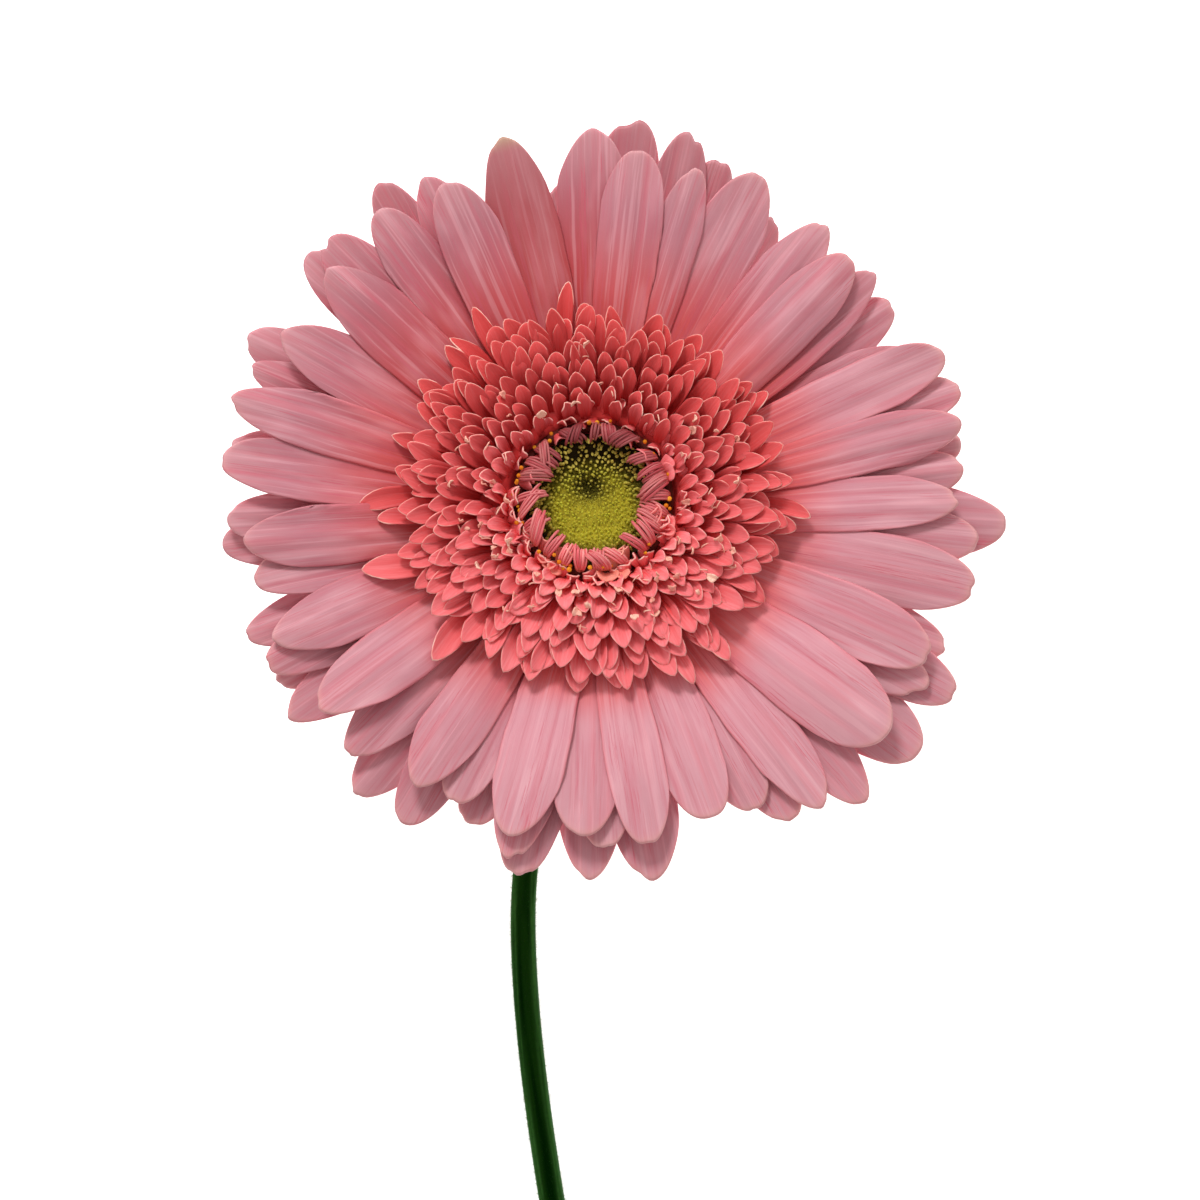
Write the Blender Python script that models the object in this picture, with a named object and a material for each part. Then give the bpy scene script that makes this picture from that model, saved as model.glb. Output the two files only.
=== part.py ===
"""A cut gerbera lying on a table: a pink head that leans back on its petals, and a curved stem.

Metres, +Z up. The surface is z = 0, the stem runs along it towards -Y, and the face looks up and
a little towards +Y.
"""

import math
import random

import bpy
import numpy as np

MM = 0.001
SEED = 7

# The head: the middle of the disc's surface, and how far the face leans from straight up, towards +Y.
HEAD = np.array([-0.0035, 0.1172, 0.033])
LEAN = math.radians(22)
RIGHT = np.array([1.0, 0.0, 0.0])
UP = np.array([0.0, math.cos(LEAN), -math.sin(LEAN)])
FACE = np.array([0.0, math.sin(LEAN), math.cos(LEAN)])

# Petal tips are listed as a viewer sees them, from this far off and this much below the face's axis.
VIEW_DISTANCE = 0.6
VIEW_TILT = math.radians(16)
TIP_ROUNDS = 10

# Ray petals, in millimetres: root and tip heights on the head's axis, and how steeply each end climbs.
# Each petal is (angle seen, anticlockwise from the right in degrees; reach seen; width).
FRONT_WHORL = {
    "root": -5.7,
    "tip": 1.8,
    "root_slope": 0.14,
    "tip_slope": 0.04,
    "petals": [
        (0, 55, 8.6),
        (12, 56.5, 8.2),
        (22.5, 57, 9),
        (43.5, 53, 9.4),
        (72.5, 52.2, 7.6),
        (82.5, 53, 9.8),
        (104, 56, 10.8),
        (115, 52.4, 10.2),
        (126.5, 54, 9.2),
        (139, 53, 10.8),
        (152, 53, 10.2),
        (164, 56.5, 9),
        (174, 56, 9.8),
        (186.5, 52.8, 9),
        (203.5, 52.5, 9.8),
        (217.5, 51.8, 10.4),
        (238, 50.8, 9.8),
        (256, 52, 10.4),
        (268.5, 50.6, 10.4),
        (279, 52.4, 8.8),
        (290.5, 51, 10),
        (321.5, 56.6, 13),
        (335, 55.8, 10.4),
    ],
}
MIDDLE_WHORL = {
    "root": -7.1,
    "tip": -0.4,
    "root_slope": 0.12,
    "tip_slope": 0.0,
    "petals": [
        (5, 55.8, 8.8),
        (17, 57.6, 8.8),
        (39, 54.4, 9.2),
        (50, 54.2, 9.8),
        (63, 54.8, 11),
        (89.5, 56, 12),
        (117.5, 54.6, 9.6),
        (135.5, 55.8, 10.2),
        (158.5, 55.2, 8.6),
        (183, 55, 9),
        (193.5, 52.2, 8.8),
        (207, 55, 8.8),
        (226, 53.2, 9.4),
        (245, 50, 8.6),
        (257, 55.6, 9.4),
        (272, 52.4, 9),
        (298, 52.6, 9.8),
        (307, 57.8, 9),
        (331, 57.6, 9.4),
        (347, 58.8, 10.6),
        (354, 58.2, 9.2),
    ],
}
REAR_WHORL = {
    "root": -8.5,
    "tip": -2.8,
    "root_slope": 0.06,
    "tip_slope": -0.04,
    "petals": [
        (9, 55.8, 9),
        (25, 52.5, 9),
        (33.5, 53.6, 9.4),
        (57, 49.5, 9),
        (69, 53.4, 9),
        (75, 56, 9.6),
        (83.5, 56.4, 12),
        (96, 46.5, 9.2),
        (124.5, 56.6, 9.6),
        (139, 56.4, 9.4),
        (154.5, 57.4, 9.4),
        (171, 55, 9),
        (187, 56, 9.4),
        (201.5, 56, 9.6),
        (209.5, 54.8, 8.6),
        (215.5, 56.4, 9.4),
        (231, 57, 9.8),
        (239.5, 56.4, 9.2),
        (249, 52, 8.8),
        (258.5, 57.6, 10),
        (269.5, 57.2, 10.2),
        (279, 58, 11),
        (302, 56.8, 10),
        (312, 61.2, 9.6),
        (322, 62, 12),
        (331.5, 61.8, 9.8),
        (337, 57.6, 9.6),
        (356.5, 62.4, 12),
    ],
}
# Along a petal: where it is widest, how narrow its root is, and the stations of its outline.
WIDEST = 0.74
ROOT_SHARE = 0.5
ROOT_POWER = 1.5
TIP_POWER = 0.5
PETAL_STATIONS = (0.0, 0.27, 0.56, 0.82, 0.965)
PETAL_ROOT = 10.6
PETAL_THICK = 0.7
ARCH = 0.14
TWIST = math.radians(4)
SWAY = 1.6
# The rear petals at the top of the head sag and press flat: half of them on the surface, the rest on those.
SAG_FROM = math.radians(50)
SAG_TO = math.radians(130)
SAG_STEP = 0.8
SAG_PRESS = 2.0
NEIGHBOUR_STEP = 0.6

# The collar of floret tubes that the ray petals grow from, as (radius, height) corners.
COLLAR = [(12.4, -9.3), (12.4, -4.0), (8.9, -4.0), (8.9, -9.3)]
# The packed tubes that the small inner florets stand on.
TUBES = [
    (12.6, -3.7),
    (22.0, -2.3),
    (21.4, -1.5),
    (16.5, -0.3),
    (12.9, 0.6),
    (12.5, -0.6),
    (8.9, -0.6),
    (8.9, -3.7),
]
# The green cup under the head and the boss inside it.
CUP = [
    (0.0, -21.0),
    (2.5, -21.0),
    (5.0, -19.9),
    (8.6, -17.6),
    (10.9, -14.4),
    (12.0, -10.9),
    (12.1, -9.6),
    (8.6, -9.6),
    (8.6, -4.6),
    (0.0, -4.6),
]
CUP_SIDES = 24
HEAD_SIDES = 36

# The small inner florets: how many, where their tips lie, and from inside to outside their length,
# climb and width.
SMALL_FLORETS = 150
SMALL_TIPS = (13.9, 30.4)
SMALL_LENGTH = (5.4, 12.0)
SMALL_CLIMB = (math.radians(74), math.radians(14))
SMALL_CLIMB_POWER = 0.6
SMALL_INNERMOST_ROOT = 13.1
SMALL_WIDTH = (2.3, 3.5)
SMALL_THICK = 0.7
SMALL_SUNK = 0.8
SMALL_OUTLINE = ((0.0, 0.45), (0.55, 0.95), (0.9, 0.7))
SMALL_ARCH = 0.2
# How far each small floret strays: its tip's radius, its length as a share, its climb and its angle.
TIP_STRAY = 0.5
LENGTH_STRAY = 0.08
CLIMB_STRAY = math.radians(4)
ANGLE_STRAY = math.radians(1.5)
GOLDEN_ANGLE = math.pi * (3 - math.sqrt(5))

# The curled florets round the disc, and the ring they stand on. They reach further in at the sides.
CURLED_FLORETS = 28
CURLED_INNER = (6.9, 8.1)
CURLED_RING = [(12.1, -0.3), (12.1, 0.8), (9.4, 0.8), (9.4, -0.3)]
CURLED_PATH = [(11.1, 0.2), (11.3, 2.2), (10.3, 3.6), (8.7, 3.8), (7.3, 2.9)]
CURLED_HALF_WIDTHS = (0.95, 1.1, 0.95, 0.8)
CURLED_THICK = 0.9

# The disc of green buds: a bowl with a small pit above its middle, and relief along two sets of spirals.
DISC_RADIUS = 8.5
DISC_BOTTOM = -4.3
DISC_SHOULDER = -0.5
DISC_RIM = 0.2
DISC_DIP = 1.9
DISC_SIDES = 42
DISC_RINGS = 9
# The pit: right, up, half its width and half its height.
PIT = (-0.6, 2.6, 1.5, 1.2)
PIT_DEPTH = 1.0
RELIEF = 0.3
SPIRALS = (13, 21)
SPIRAL_PITCH = 1.1

# The bracts on the cup: rows of (how many, root height, tip radius, tip height).
BRACT_ROWS = [(13, -17.6, 13.4, -12.4), (16, -15.2, 15.4, -11.6)]
BRACT_HALF_WIDTH = 1.5
BRACT_THICK = 0.8
BRACT_OUTLINE = ((0.0, 1.0), (0.55, 0.9))
BRACT_ARCH = 0.25
BRACT_BULGE = 1.3
BRACT_SUNK = 0.5

# The stem from above, relative to the head: the bend off the surface, the leftmost point and the cut end.
NECK_TOP = -21.4
NECK_HANDLE = 8.4
BEND = np.array([-4.0, -28.5])
BULGE = np.array([-11.2, -71.0])
CUT_END = np.array([22.0, -288.3])
BEND_HANDLE = np.array([-2.6, -14.0])
BULGE_HANDLE = np.array([0.0, 16.0])
BULGE_TO_END = np.array([0.0, -50.0])
CUT_HANDLE = np.array([-6.0, 75.0])
STEM_SIDES = 12
STEM_RADIUS_NECK = 1.75
STEM_RADIUS_CUT = 2.25
STEM_STEPS = (9, 9, 16)
CUT_SLANT = 0.7

# Colour and roughness of each node.
LOOKS = {
    "ray_petals": ((0.72, 0.26, 0.30), 0.55),
    "small_florets": ((0.66, 0.14, 0.15), 0.55),
    "curled_florets": ((0.58, 0.17, 0.22), 0.5),
    "disc_florets": ((0.38, 0.42, 0.05), 0.6),
    "involucre": ((0.08, 0.17, 0.04), 0.65),
    "stem": ((0.05, 0.13, 0.03), 0.6),
}


def head_point(radius, angle, height):
    """A point in metres from millimetres out from the head's axis, round it, and along it."""
    out = math.cos(angle) * RIGHT + math.sin(angle) * UP
    return HEAD + MM * (radius * out + height * FACE)


def unit(vector):
    return vector / np.linalg.norm(vector)


def mix(ends, share):
    return ends[0] + (ends[1] - ends[0]) * share


def bezier(a, b, c, d, t):
    s = 1 - t
    return s**3 * a + 3 * s * s * t * b + 3 * s * t * t * c + t**3 * d


def loft(name, rings, loop=False):
    """A closed mesh through rings of points that turn clockwise as seen along the way. One point is a tip.

    Each four-sided face is split from an even point of one ring to an odd point of the next, so that
    the two faces of a thin blade are split alike.
    """
    starts = np.cumsum([0] + [len(ring) for ring in rings])
    faces = []
    pairs = [(i, i + 1) for i in range(len(rings) - 1)] + ([(len(rings) - 1, 0)] if loop else [])
    for i, j in pairs:
        near, far = len(rings[i]), len(rings[j])
        for k in range(max(near, far)):
            a, a_next = starts[i] + k % near, starts[i] + (k + 1) % near
            b, b_next = starts[j] + k % far, starts[j] + (k + 1) % far
            if far == 1:
                faces.append((a, a_next, b))
            elif near == 1:
                faces.append((a, b_next, b))
            elif k % 2 == 0:
                faces += [(a, a_next, b_next), (a, b_next, b)]
            else:
                faces += [(a, a_next, b), (a_next, b_next, b)]
    if not loop:
        if len(rings[0]) > 1:
            faces.append(tuple(reversed(range(len(rings[0])))))
        if len(rings[-1]) > 1:
            faces.append(tuple(range(starts[-2], starts[-1])))
    mesh = bpy.data.meshes.new(name)
    points = [tuple(point) for ring in rings for point in ring]
    mesh.from_pydata(points, [], [tuple(map(int, face)) for face in faces])
    return bpy.data.objects.new(name, mesh)


def turned(name, profile, sides, loop=False):
    """The (radius, height) profile, up its outer side, turned round the head's axis."""
    rings = []
    for radius, height in profile:
        count = sides if radius > 0 else 1
        rings.append([head_point(radius, 2 * math.pi * k / sides, height) for k in range(count)])
    return loft(name, rings, loop)


def blade(name, centres, half_widths, thick, arch, up=FACE, twist=0.0, hollow=True):
    """A thin leaf along its centre points up to its tip: a ridge above, two edges, a hollow below."""
    rings = []
    for i, half_width in enumerate(half_widths):
        ahead = unit(centres[i + 1] - centres[max(i - 1, 0)])
        side = unit(np.cross(ahead, up))
        normal = np.cross(side, ahead)
        side, normal = (
            side * math.cos(twist) - normal * math.sin(twist),
            normal * math.cos(twist) + side * math.sin(twist),
        )
        edge = side * half_width
        drop = normal * arch * half_width
        ridge = normal * thick / 2
        centre = centres[i]
        ring = [centre - edge - drop, centre + ridge, centre + edge - drop]
        rings.append(ring + [centre - ridge] if hollow else ring)
    rings.append([centres[-1]])
    return loft(name, rings)


def outline_share(u):
    """A ray petal's half-width at u from root to tip, as a share of its greatest."""
    if u < WIDEST:
        return ROOT_SHARE + (1 - ROOT_SHARE) * math.sin(math.pi / 2 * u / WIDEST) ** ROOT_POWER
    return (1 - ((u - WIDEST) / (1 - WIDEST)) ** 2) ** TIP_POWER


def height_on_head(z, up_head):
    """The height on the head's axis of a point this high over the surface, this far up the head, in mm."""
    return (z + up_head * math.sin(LEAN) - HEAD[2] / MM) / math.cos(LEAN)


def tip_of(angle, reach, height, seat):
    """(radius, angle, height) on the head of a tip that the viewer sees at this angle and reach.

    A tip with a seat sinks until it lies that high over the surface.
    """
    right = reach * math.cos(angle)
    up_head = reach * math.sin(angle)
    for _ in range(TIP_ROUNDS):
        if seat is not None:
            height = height_on_head(seat, up_head)
        behind = up_head * math.sin(VIEW_TILT) - height * math.cos(VIEW_TILT)
        grown = 1 + behind * MM / VIEW_DISTANCE
        right = reach * math.cos(angle) * grown
        up_head = (reach * math.sin(angle) * grown - height * math.sin(VIEW_TILT)) / math.cos(VIEW_TILT)
    return math.hypot(right, up_head), math.atan2(up_head, right), height


def climb(u, start, end, start_slope, end_slope):
    """Height at u on a curve that leaves one end and reaches the other at these slopes."""
    a = 2 * u**3 - 3 * u**2 + 1
    b = u**3 - 2 * u**2 + u
    c = -2 * u**3 + 3 * u**2
    d = u**3 - u**2
    return a * start + b * start_slope + c * end + d * end_slope


def ray_petal(whorl, petal, raised, sway):
    """One long petal, from inside the collar to its tip, held at or above its seat on the surface."""
    angle = math.radians(petal[0])
    sags = whorl is REAR_WHORL and SAG_FROM < angle < SAG_TO
    seat = SAG_STEP * raised if sags else 0.0
    root_height = whorl["root"] + NEIGHBOUR_STEP / 3 * raised
    tip_height = whorl["tip"] + NEIGHBOUR_STEP * raised
    radius, angle, tip_height = tip_of(angle, petal[1], tip_height, seat - SAG_PRESS if sags else None)
    length = radius - PETAL_ROOT
    start_slope = whorl["root_slope"] * length
    end_slope = (math.tan(LEAN) * math.sin(angle) if sags else whorl["tip_slope"]) * length
    centres = []
    for u in PETAL_STATIONS + (1.0,):
        height = climb(u, root_height, tip_height, start_slope, end_slope)
        turn = math.radians(sway) * (1 - u)
        centres.append(head_point(PETAL_ROOT + length * u, angle + turn, height))
    half_widths = [MM * petal[2] / 2 * outline_share(u) for u in PETAL_STATIONS]
    made = blade("petal", centres, half_widths, PETAL_THICK * MM, ARCH, twist=TWIST)
    for i, vertex in enumerate(made.data.vertices):
        on_ridge = i % 4 == 1
        vertex.co.z = max(vertex.co.z, MM * (seat + PETAL_THICK if on_ridge else seat))
    return made


def ray_petals():
    """All the long petals of the three whorls, every other one a little above its neighbours."""
    draw = random.Random(SEED)
    made = []
    for whorl in (FRONT_WHORL, MIDDLE_WHORL, REAR_WHORL):
        for i, petal in enumerate(whorl["petals"]):
            made.append(ray_petal(whorl, petal, raised=i % 2, sway=draw.uniform(-SWAY, SWAY)))
    return made


def tubes_top(radius):
    """Height of the top of the packed tubes at this radius."""
    tops = TUBES[1:5][::-1]
    return float(np.interp(radius, [p[0] for p in tops], [p[1] for p in tops]))


def small_florets():
    """The short tongues between disc and petals, on a spiral at the golden angle, steeper inside."""
    draw = random.Random(SEED)
    made = []
    for i in range(SMALL_FLORETS):
        outward = (i + 0.5) / SMALL_FLORETS
        tip_radius = math.sqrt(mix([r * r for r in SMALL_TIPS], outward))
        tip_radius += draw.uniform(-TIP_STRAY, TIP_STRAY)
        share = (tip_radius - SMALL_TIPS[0]) / (SMALL_TIPS[1] - SMALL_TIPS[0])
        share = min(max(share, 0.0), 1.0)
        length = mix(SMALL_LENGTH, share) * draw.uniform(1 - LENGTH_STRAY, 1 + LENGTH_STRAY)
        climb_angle = mix(SMALL_CLIMB, share**SMALL_CLIMB_POWER) + draw.uniform(-CLIMB_STRAY, CLIMB_STRAY)
        root_radius = max(tip_radius - length * math.cos(climb_angle), SMALL_INNERMOST_ROOT)
        root_height = tubes_top(root_radius) - SMALL_SUNK
        angle = i * GOLDEN_ANGLE + draw.uniform(-ANGLE_STRAY, ANGLE_STRAY)
        centres = []
        for u, _ in SMALL_OUTLINE + ((1.0, 0.0),):
            out = root_radius + length * u * math.cos(climb_angle)
            rise = root_height + length * u * math.sin(climb_angle)
            centres.append(head_point(out, angle, rise))
        half = MM * mix(SMALL_WIDTH, share) / 2
        half_widths = [half * w for _, w in SMALL_OUTLINE]
        made.append(blade("floret", centres, half_widths, SMALL_THICK * MM, SMALL_ARCH, hollow=False))
    return made


def curled_florets():
    """The curled florets, which rise from their ring and arch in over the disc."""
    made = []
    for i in range(CURLED_FLORETS):
        angle = 2 * math.pi * i / CURLED_FLORETS
        foot, end = CURLED_PATH[0][0], CURLED_PATH[-1][0]
        reach = (foot - mix(CURLED_INNER, math.sin(angle) ** 2)) / (foot - end)
        centres = []
        for radius, height in CURLED_PATH:
            centres.append(head_point(foot + (radius - foot) * reach, angle, height))
        rings = []
        across = -math.sin(angle) * RIGHT + math.cos(angle) * UP
        for k, half_width in enumerate(CURLED_HALF_WIDTHS):
            centre = centres[k]
            ahead = unit(centres[k + 1] - centres[max(k - 1, 0)])
            side = MM * half_width * across
            out = MM * CURLED_THICK / 2 * np.cross(across, ahead)
            rings.append([centre - side, centre + out, centre + side, centre - out])
        rings.append([centres[-1]])
        made.append(loft("curl", rings))
    return made


def dish(radius, angle):
    """Height of the disc's bowl and its pit at this radius and angle."""
    right, up = radius * math.cos(angle), radius * math.sin(angle)
    pit = math.exp(-(((right - PIT[0]) / PIT[2]) ** 2) - ((up - PIT[1]) / PIT[3]) ** 2)
    return DISC_RIM - DISC_DIP * (1 - (radius / DISC_RADIUS) ** 2) - PIT_DEPTH * pit


def disc_florets():
    """The bowl of green buds, raised by a formula along two sets of spirals, on a plain round base."""
    turns = [2 * math.pi * k / DISC_SIDES for k in range(DISC_SIDES)]
    rings = [[head_point(0, 0, DISC_BOTTOM)]]
    for height in (DISC_BOTTOM, DISC_SHOULDER):
        rings.append([head_point(DISC_RADIUS, angle, height) for angle in turns])
    for j in range(DISC_RINGS):
        radius = DISC_RADIUS * (1 - (j + 0.5) / DISC_RINGS)
        ring = []
        for angle in turns:
            left = math.cos(SPIRALS[0] * angle + SPIRAL_PITCH * radius)
            right = math.cos(SPIRALS[1] * angle - SPIRAL_PITCH * radius)
            relief = RELIEF * left * right * min(1, 2 * radius / DISC_RADIUS)
            ring.append(head_point(radius, angle, dish(radius, angle) + relief))
        rings.append(ring)
    rings.append([head_point(0, 0, dish(0, 0))])
    return loft("disc_florets", rings)


def bracts():
    """The narrow green bracts that overlap on the cup, with free tips just under the petals."""
    made = []
    wall_radii, wall_heights = zip(*CUP[1:7])
    for row, (count, root_height, tip_radius, tip_height) in enumerate(BRACT_ROWS):
        root_radius = float(np.interp(root_height, wall_heights, wall_radii)) - BRACT_SUNK
        for i in range(count):
            angle = 2 * math.pi * (i + 0.5 * row) / count
            centres = []
            for u, _ in BRACT_OUTLINE + ((1.0, 0.0),):
                bulge = BRACT_BULGE * math.sin(math.pi * u)
                radius = mix((root_radius, tip_radius), u) + bulge
                centres.append(head_point(radius, angle, mix((root_height, tip_height), u)))
            half_widths = [MM * BRACT_HALF_WIDTH * w for _, w in BRACT_OUTLINE]
            outward = math.cos(angle) * RIGHT + math.sin(angle) * UP
            thick = BRACT_THICK * MM
            made.append(blade("bract", centres, half_widths, thick, BRACT_ARCH, outward, hollow=False))
    return made


def stem_line():
    """The stem's centre points from the cut end, along the surface and up the neck, and its radii."""

    def on_surface(a, b, c, d, steps):
        return [bezier(a, b, c, d, t) for t in np.linspace(0, 1, steps + 1)[:-1]]

    flat = on_surface(CUT_END, CUT_END + CUT_HANDLE, BULGE + BULGE_TO_END, BULGE, STEM_STEPS[2])
    flat += on_surface(BULGE, BULGE + BULGE_HANDLE, BEND + BEND_HANDLE, BEND, STEM_STEPS[1])
    count = len(flat) + STEM_STEPS[0] + 1
    radii = [MM * mix((STEM_RADIUS_CUT, STEM_RADIUS_NECK), i / (count - 1)) for i in range(count)]
    flat_side = math.cos(math.pi / STEM_SIDES)
    line = []
    for (x, y), radius in zip(flat, radii):
        line.append(np.array([HEAD[0] + MM * x, HEAD[1] + MM * y, radius * flat_side]))
    start = np.array([HEAD[0] + MM * BEND[0], HEAD[1] + MM * BEND[1], radii[len(flat)] * flat_side])
    leaving = unit(np.array([-BEND_HANDLE[0], -BEND_HANDLE[1], 0.0]))
    top = head_point(0, 0, NECK_TOP)
    handle = MM * NECK_HANDLE
    for t in np.linspace(0, 1, STEM_STEPS[0] + 1):
        line.append(bezier(start, start + handle * leaving, top - handle * FACE, top, t))
    return line, radii


def stem():
    """The stem: a tube with a flat side down where it lies, cut on a slant."""
    line, radii = stem_line()
    rings = []
    for i, (centre, radius) in enumerate(zip(line, radii)):
        ahead = unit(line[min(i + 1, len(line) - 1)] - line[max(i - 1, 0)])
        if i == len(line) - 1:
            ahead = FACE
        side = unit(np.cross(ahead, [0, 0, 1]))
        above = np.cross(side, ahead)
        ring = []
        for k in range(STEM_SIDES):
            turn = -2 * math.pi * (k + 0.5) / STEM_SIDES
            across, rise = radius * math.cos(turn), radius * math.sin(turn)
            slant = CUT_SLANT * rise if i == 0 else 0.0
            ring.append(centre + across * side + rise * above + slant * ahead)
        rings.append(ring)
    return loft("stem", rings)


def material(name, colour, roughness):
    made = bpy.data.materials.new(name)
    made.use_nodes = True
    shader = made.node_tree.nodes["Principled BSDF"]
    shader.inputs["Base Color"].default_value = (*colour, 1.0)
    shader.inputs["Roughness"].default_value = roughness
    shader.inputs["Metallic"].default_value = 0.0
    return made


def grown_together(core, repeats):
    """The core with its repeats joined on by one Boolean union, which is applied."""
    pieces = bpy.data.collections.new(core.name + "_repeats")
    bpy.context.scene.collection.children.link(pieces)
    for piece in repeats:
        pieces.objects.link(piece)
    bpy.context.scene.collection.objects.link(core)
    union = core.modifiers.new("union", "BOOLEAN")
    union.operation = "UNION"
    union.solver = "MANIFOLD"
    union.operand_type = "COLLECTION"
    union.collection = pieces
    graph = bpy.context.evaluated_depsgraph_get()
    joined = bpy.data.meshes.new_from_object(core.evaluated_get(graph))
    core.modifiers.remove(union)
    core.data = joined
    for piece in list(pieces.objects):
        bpy.data.objects.remove(piece)
    bpy.data.collections.remove(pieces)
    return core


def finish(piece):
    if piece.name not in bpy.context.scene.collection.objects:
        bpy.context.scene.collection.objects.link(piece)
    piece.data.materials.clear()
    piece.data.materials.append(material(piece.name, *LOOKS[piece.name]))


def main():
    for existing in list(bpy.data.objects):
        bpy.data.objects.remove(existing)
    finish(grown_together(turned("ray_petals", COLLAR, HEAD_SIDES, loop=True), ray_petals()))
    finish(grown_together(turned("small_florets", TUBES, HEAD_SIDES, loop=True), small_florets()))
    finish(grown_together(turned("curled_florets", CURLED_RING, HEAD_SIDES, loop=True), curled_florets()))
    finish(disc_florets())
    finish(grown_together(turned("involucre", CUP, CUP_SIDES), bracts()))
    finish(stem())


main()
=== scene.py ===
"""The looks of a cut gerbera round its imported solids: petals, florets, disc, bracts, hairs, light and camera.

Metres, +Z up. The surface is z = 0, the stem runs towards -Y, and the face looks up and a little towards +Y.
Shapes on the head are worked out in millimetres as (right, up, height), the height along the head's axis.
"""

import math
import random

import bpy
import numpy as np
from mathutils import Matrix, Vector


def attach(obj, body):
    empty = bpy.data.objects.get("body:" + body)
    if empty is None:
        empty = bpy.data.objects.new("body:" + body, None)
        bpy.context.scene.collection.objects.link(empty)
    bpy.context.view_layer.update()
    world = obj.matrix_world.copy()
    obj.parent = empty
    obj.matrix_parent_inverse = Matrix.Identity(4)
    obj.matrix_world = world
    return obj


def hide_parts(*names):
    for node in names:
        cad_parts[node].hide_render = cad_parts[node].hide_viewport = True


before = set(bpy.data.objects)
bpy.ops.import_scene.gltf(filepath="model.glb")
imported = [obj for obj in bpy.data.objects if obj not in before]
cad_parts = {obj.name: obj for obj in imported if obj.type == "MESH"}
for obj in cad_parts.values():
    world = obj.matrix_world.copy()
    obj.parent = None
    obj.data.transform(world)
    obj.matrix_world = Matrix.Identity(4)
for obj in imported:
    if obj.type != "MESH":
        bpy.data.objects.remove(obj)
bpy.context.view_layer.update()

MM = 0.001
SEED = 7

# The head's place and lean, as in the solids.
HEAD = np.array([-0.0035, 0.1172, 0.033])
LEAN = math.radians(22)
RIGHT = np.array([1.0, 0.0, 0.0])
UP = np.array([0.0, math.cos(LEAN), -math.sin(LEAN)])
FACE = np.array([0.0, math.sin(LEAN), math.cos(LEAN)])
TO_WORLD = MM * np.array([RIGHT, UP, FACE])
AXIS = np.array([0.0, 0.0, 1.0])

# The viewer: the distance from the head, and the angle between the view and the head's axis.
VIEW_DISTANCE = 0.6
VIEW_TILT = math.radians(16)
TIP_ROUNDS = 10
# The photograph: its width, the size of a pixel at the head, and where its middle is from the head's.
PHOTO_WIDTH = 1200
PIXEL = 0.15 * MM
AIM_RIGHT = 7 * PIXEL
AIM_DOWN = 100 * PIXEL
SENSOR_WIDTH = 36

# Ray petals as in the solids: (angle seen, reach seen, width). painted_shade is how much painted shade a layer
# gets from those lying over it.
FRONT_WHORL = {
    "root": -5.7,
    "tip": 1.8,
    "root_slope": 0.14,
    "tip_slope": 0.04,
    "painted_shade": 0.0,
    "petals": [
        (0, 55, 8.6), (12, 56.5, 8.2), (22.5, 57, 9), (43.5, 53, 9.4), (72.5, 52.2, 7.6),
        (82.5, 53, 9.8), (104, 56, 10.8), (115, 52.4, 10.2), (126.5, 54, 9.2), (139, 53, 10.8),
        (152, 53, 10.2), (164, 56.5, 9), (174, 56, 9.8), (186.5, 52.8, 9), (203.5, 52.5, 9.8),
        (217.5, 51.8, 10.4), (238, 50.8, 9.8), (256, 52, 10.4), (268.5, 50.6, 10.4),
        (279, 52.4, 8.8), (290.5, 51, 10), (321.5, 56.6, 13), (335, 55.8, 10.4),
    ],
}
MIDDLE_WHORL = {
    "root": -7.1,
    "tip": -0.4,
    "root_slope": 0.12,
    "tip_slope": 0.0,
    "painted_shade": 0.08,
    "petals": [
        (5, 55.8, 8.8), (17, 57.6, 8.8), (39, 54.4, 9.2), (50, 54.2, 9.8), (63, 54.8, 11),
        (89.5, 56, 12), (117.5, 54.6, 9.6), (135.5, 55.8, 10.2), (158.5, 55.2, 8.6), (183, 55, 9),
        (193.5, 52.2, 8.8), (207, 55, 8.8), (226, 53.2, 9.4), (245, 50, 8.6), (257, 55.6, 9.4),
        (272, 52.4, 9), (298, 52.6, 9.8), (307, 57.8, 9), (331, 57.6, 9.4), (347, 58.8, 10.6),
        (354, 58.2, 9.2),
    ],
}
REAR_WHORL = {
    "root": -8.5,
    "tip": -2.8,
    "root_slope": 0.06,
    "tip_slope": -0.04,
    "painted_shade": 0.18,
    "petals": [
        (9, 55.8, 9), (25, 52.5, 9), (33.5, 53.6, 9.4), (57, 49.5, 9), (69, 53.4, 9), (75, 56, 9.6),
        (83.5, 56.4, 12), (96, 46.5, 9.2), (124.5, 56.6, 9.6), (139, 56.4, 9.4), (154.5, 57.4, 9.4),
        (171, 55, 9), (187, 56, 9.4), (201.5, 56, 9.6), (209.5, 54.8, 8.6), (215.5, 56.4, 9.4),
        (231, 57, 9.8), (239.5, 56.4, 9.2), (249, 52, 8.8), (258.5, 57.6, 10), (269.5, 57.2, 10.2),
        (279, 58, 11), (302, 56.8, 10), (312, 61.2, 9.6), (322, 62, 12), (331.5, 61.8, 9.8),
        (337, 57.6, 9.6), (356.5, 62.4, 12),
    ],
}
WHORLS = {"front": FRONT_WHORL, "middle": MIDDLE_WHORL, "rear": REAR_WHORL}
WIDEST = 0.74
ROOT_SHARE = 0.5
ROOT_POWER = 1.5
PETAL_ROOT = 10.6
SWAY = math.radians(1.6)
SAG_FROM = math.radians(50)
SAG_TO = math.radians(130)
SAG_STEP = 0.8
SAG_PRESS = 2.0
SAG_CLEAR = 0.25
NEIGHBOUR_STEP = 0.6

# Tone of a petal, partly painted shade: its mean, how much painted shade it gains towards the angle where it is
# most shaded, and its own random spread.
TONE_AND_SHADE_MEAN = 0.46
PAINTED_SHADE_SWING = 0.38
MOST_SHADED_AT = 124
DEPTH_SPREAD = 0.12
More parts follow.
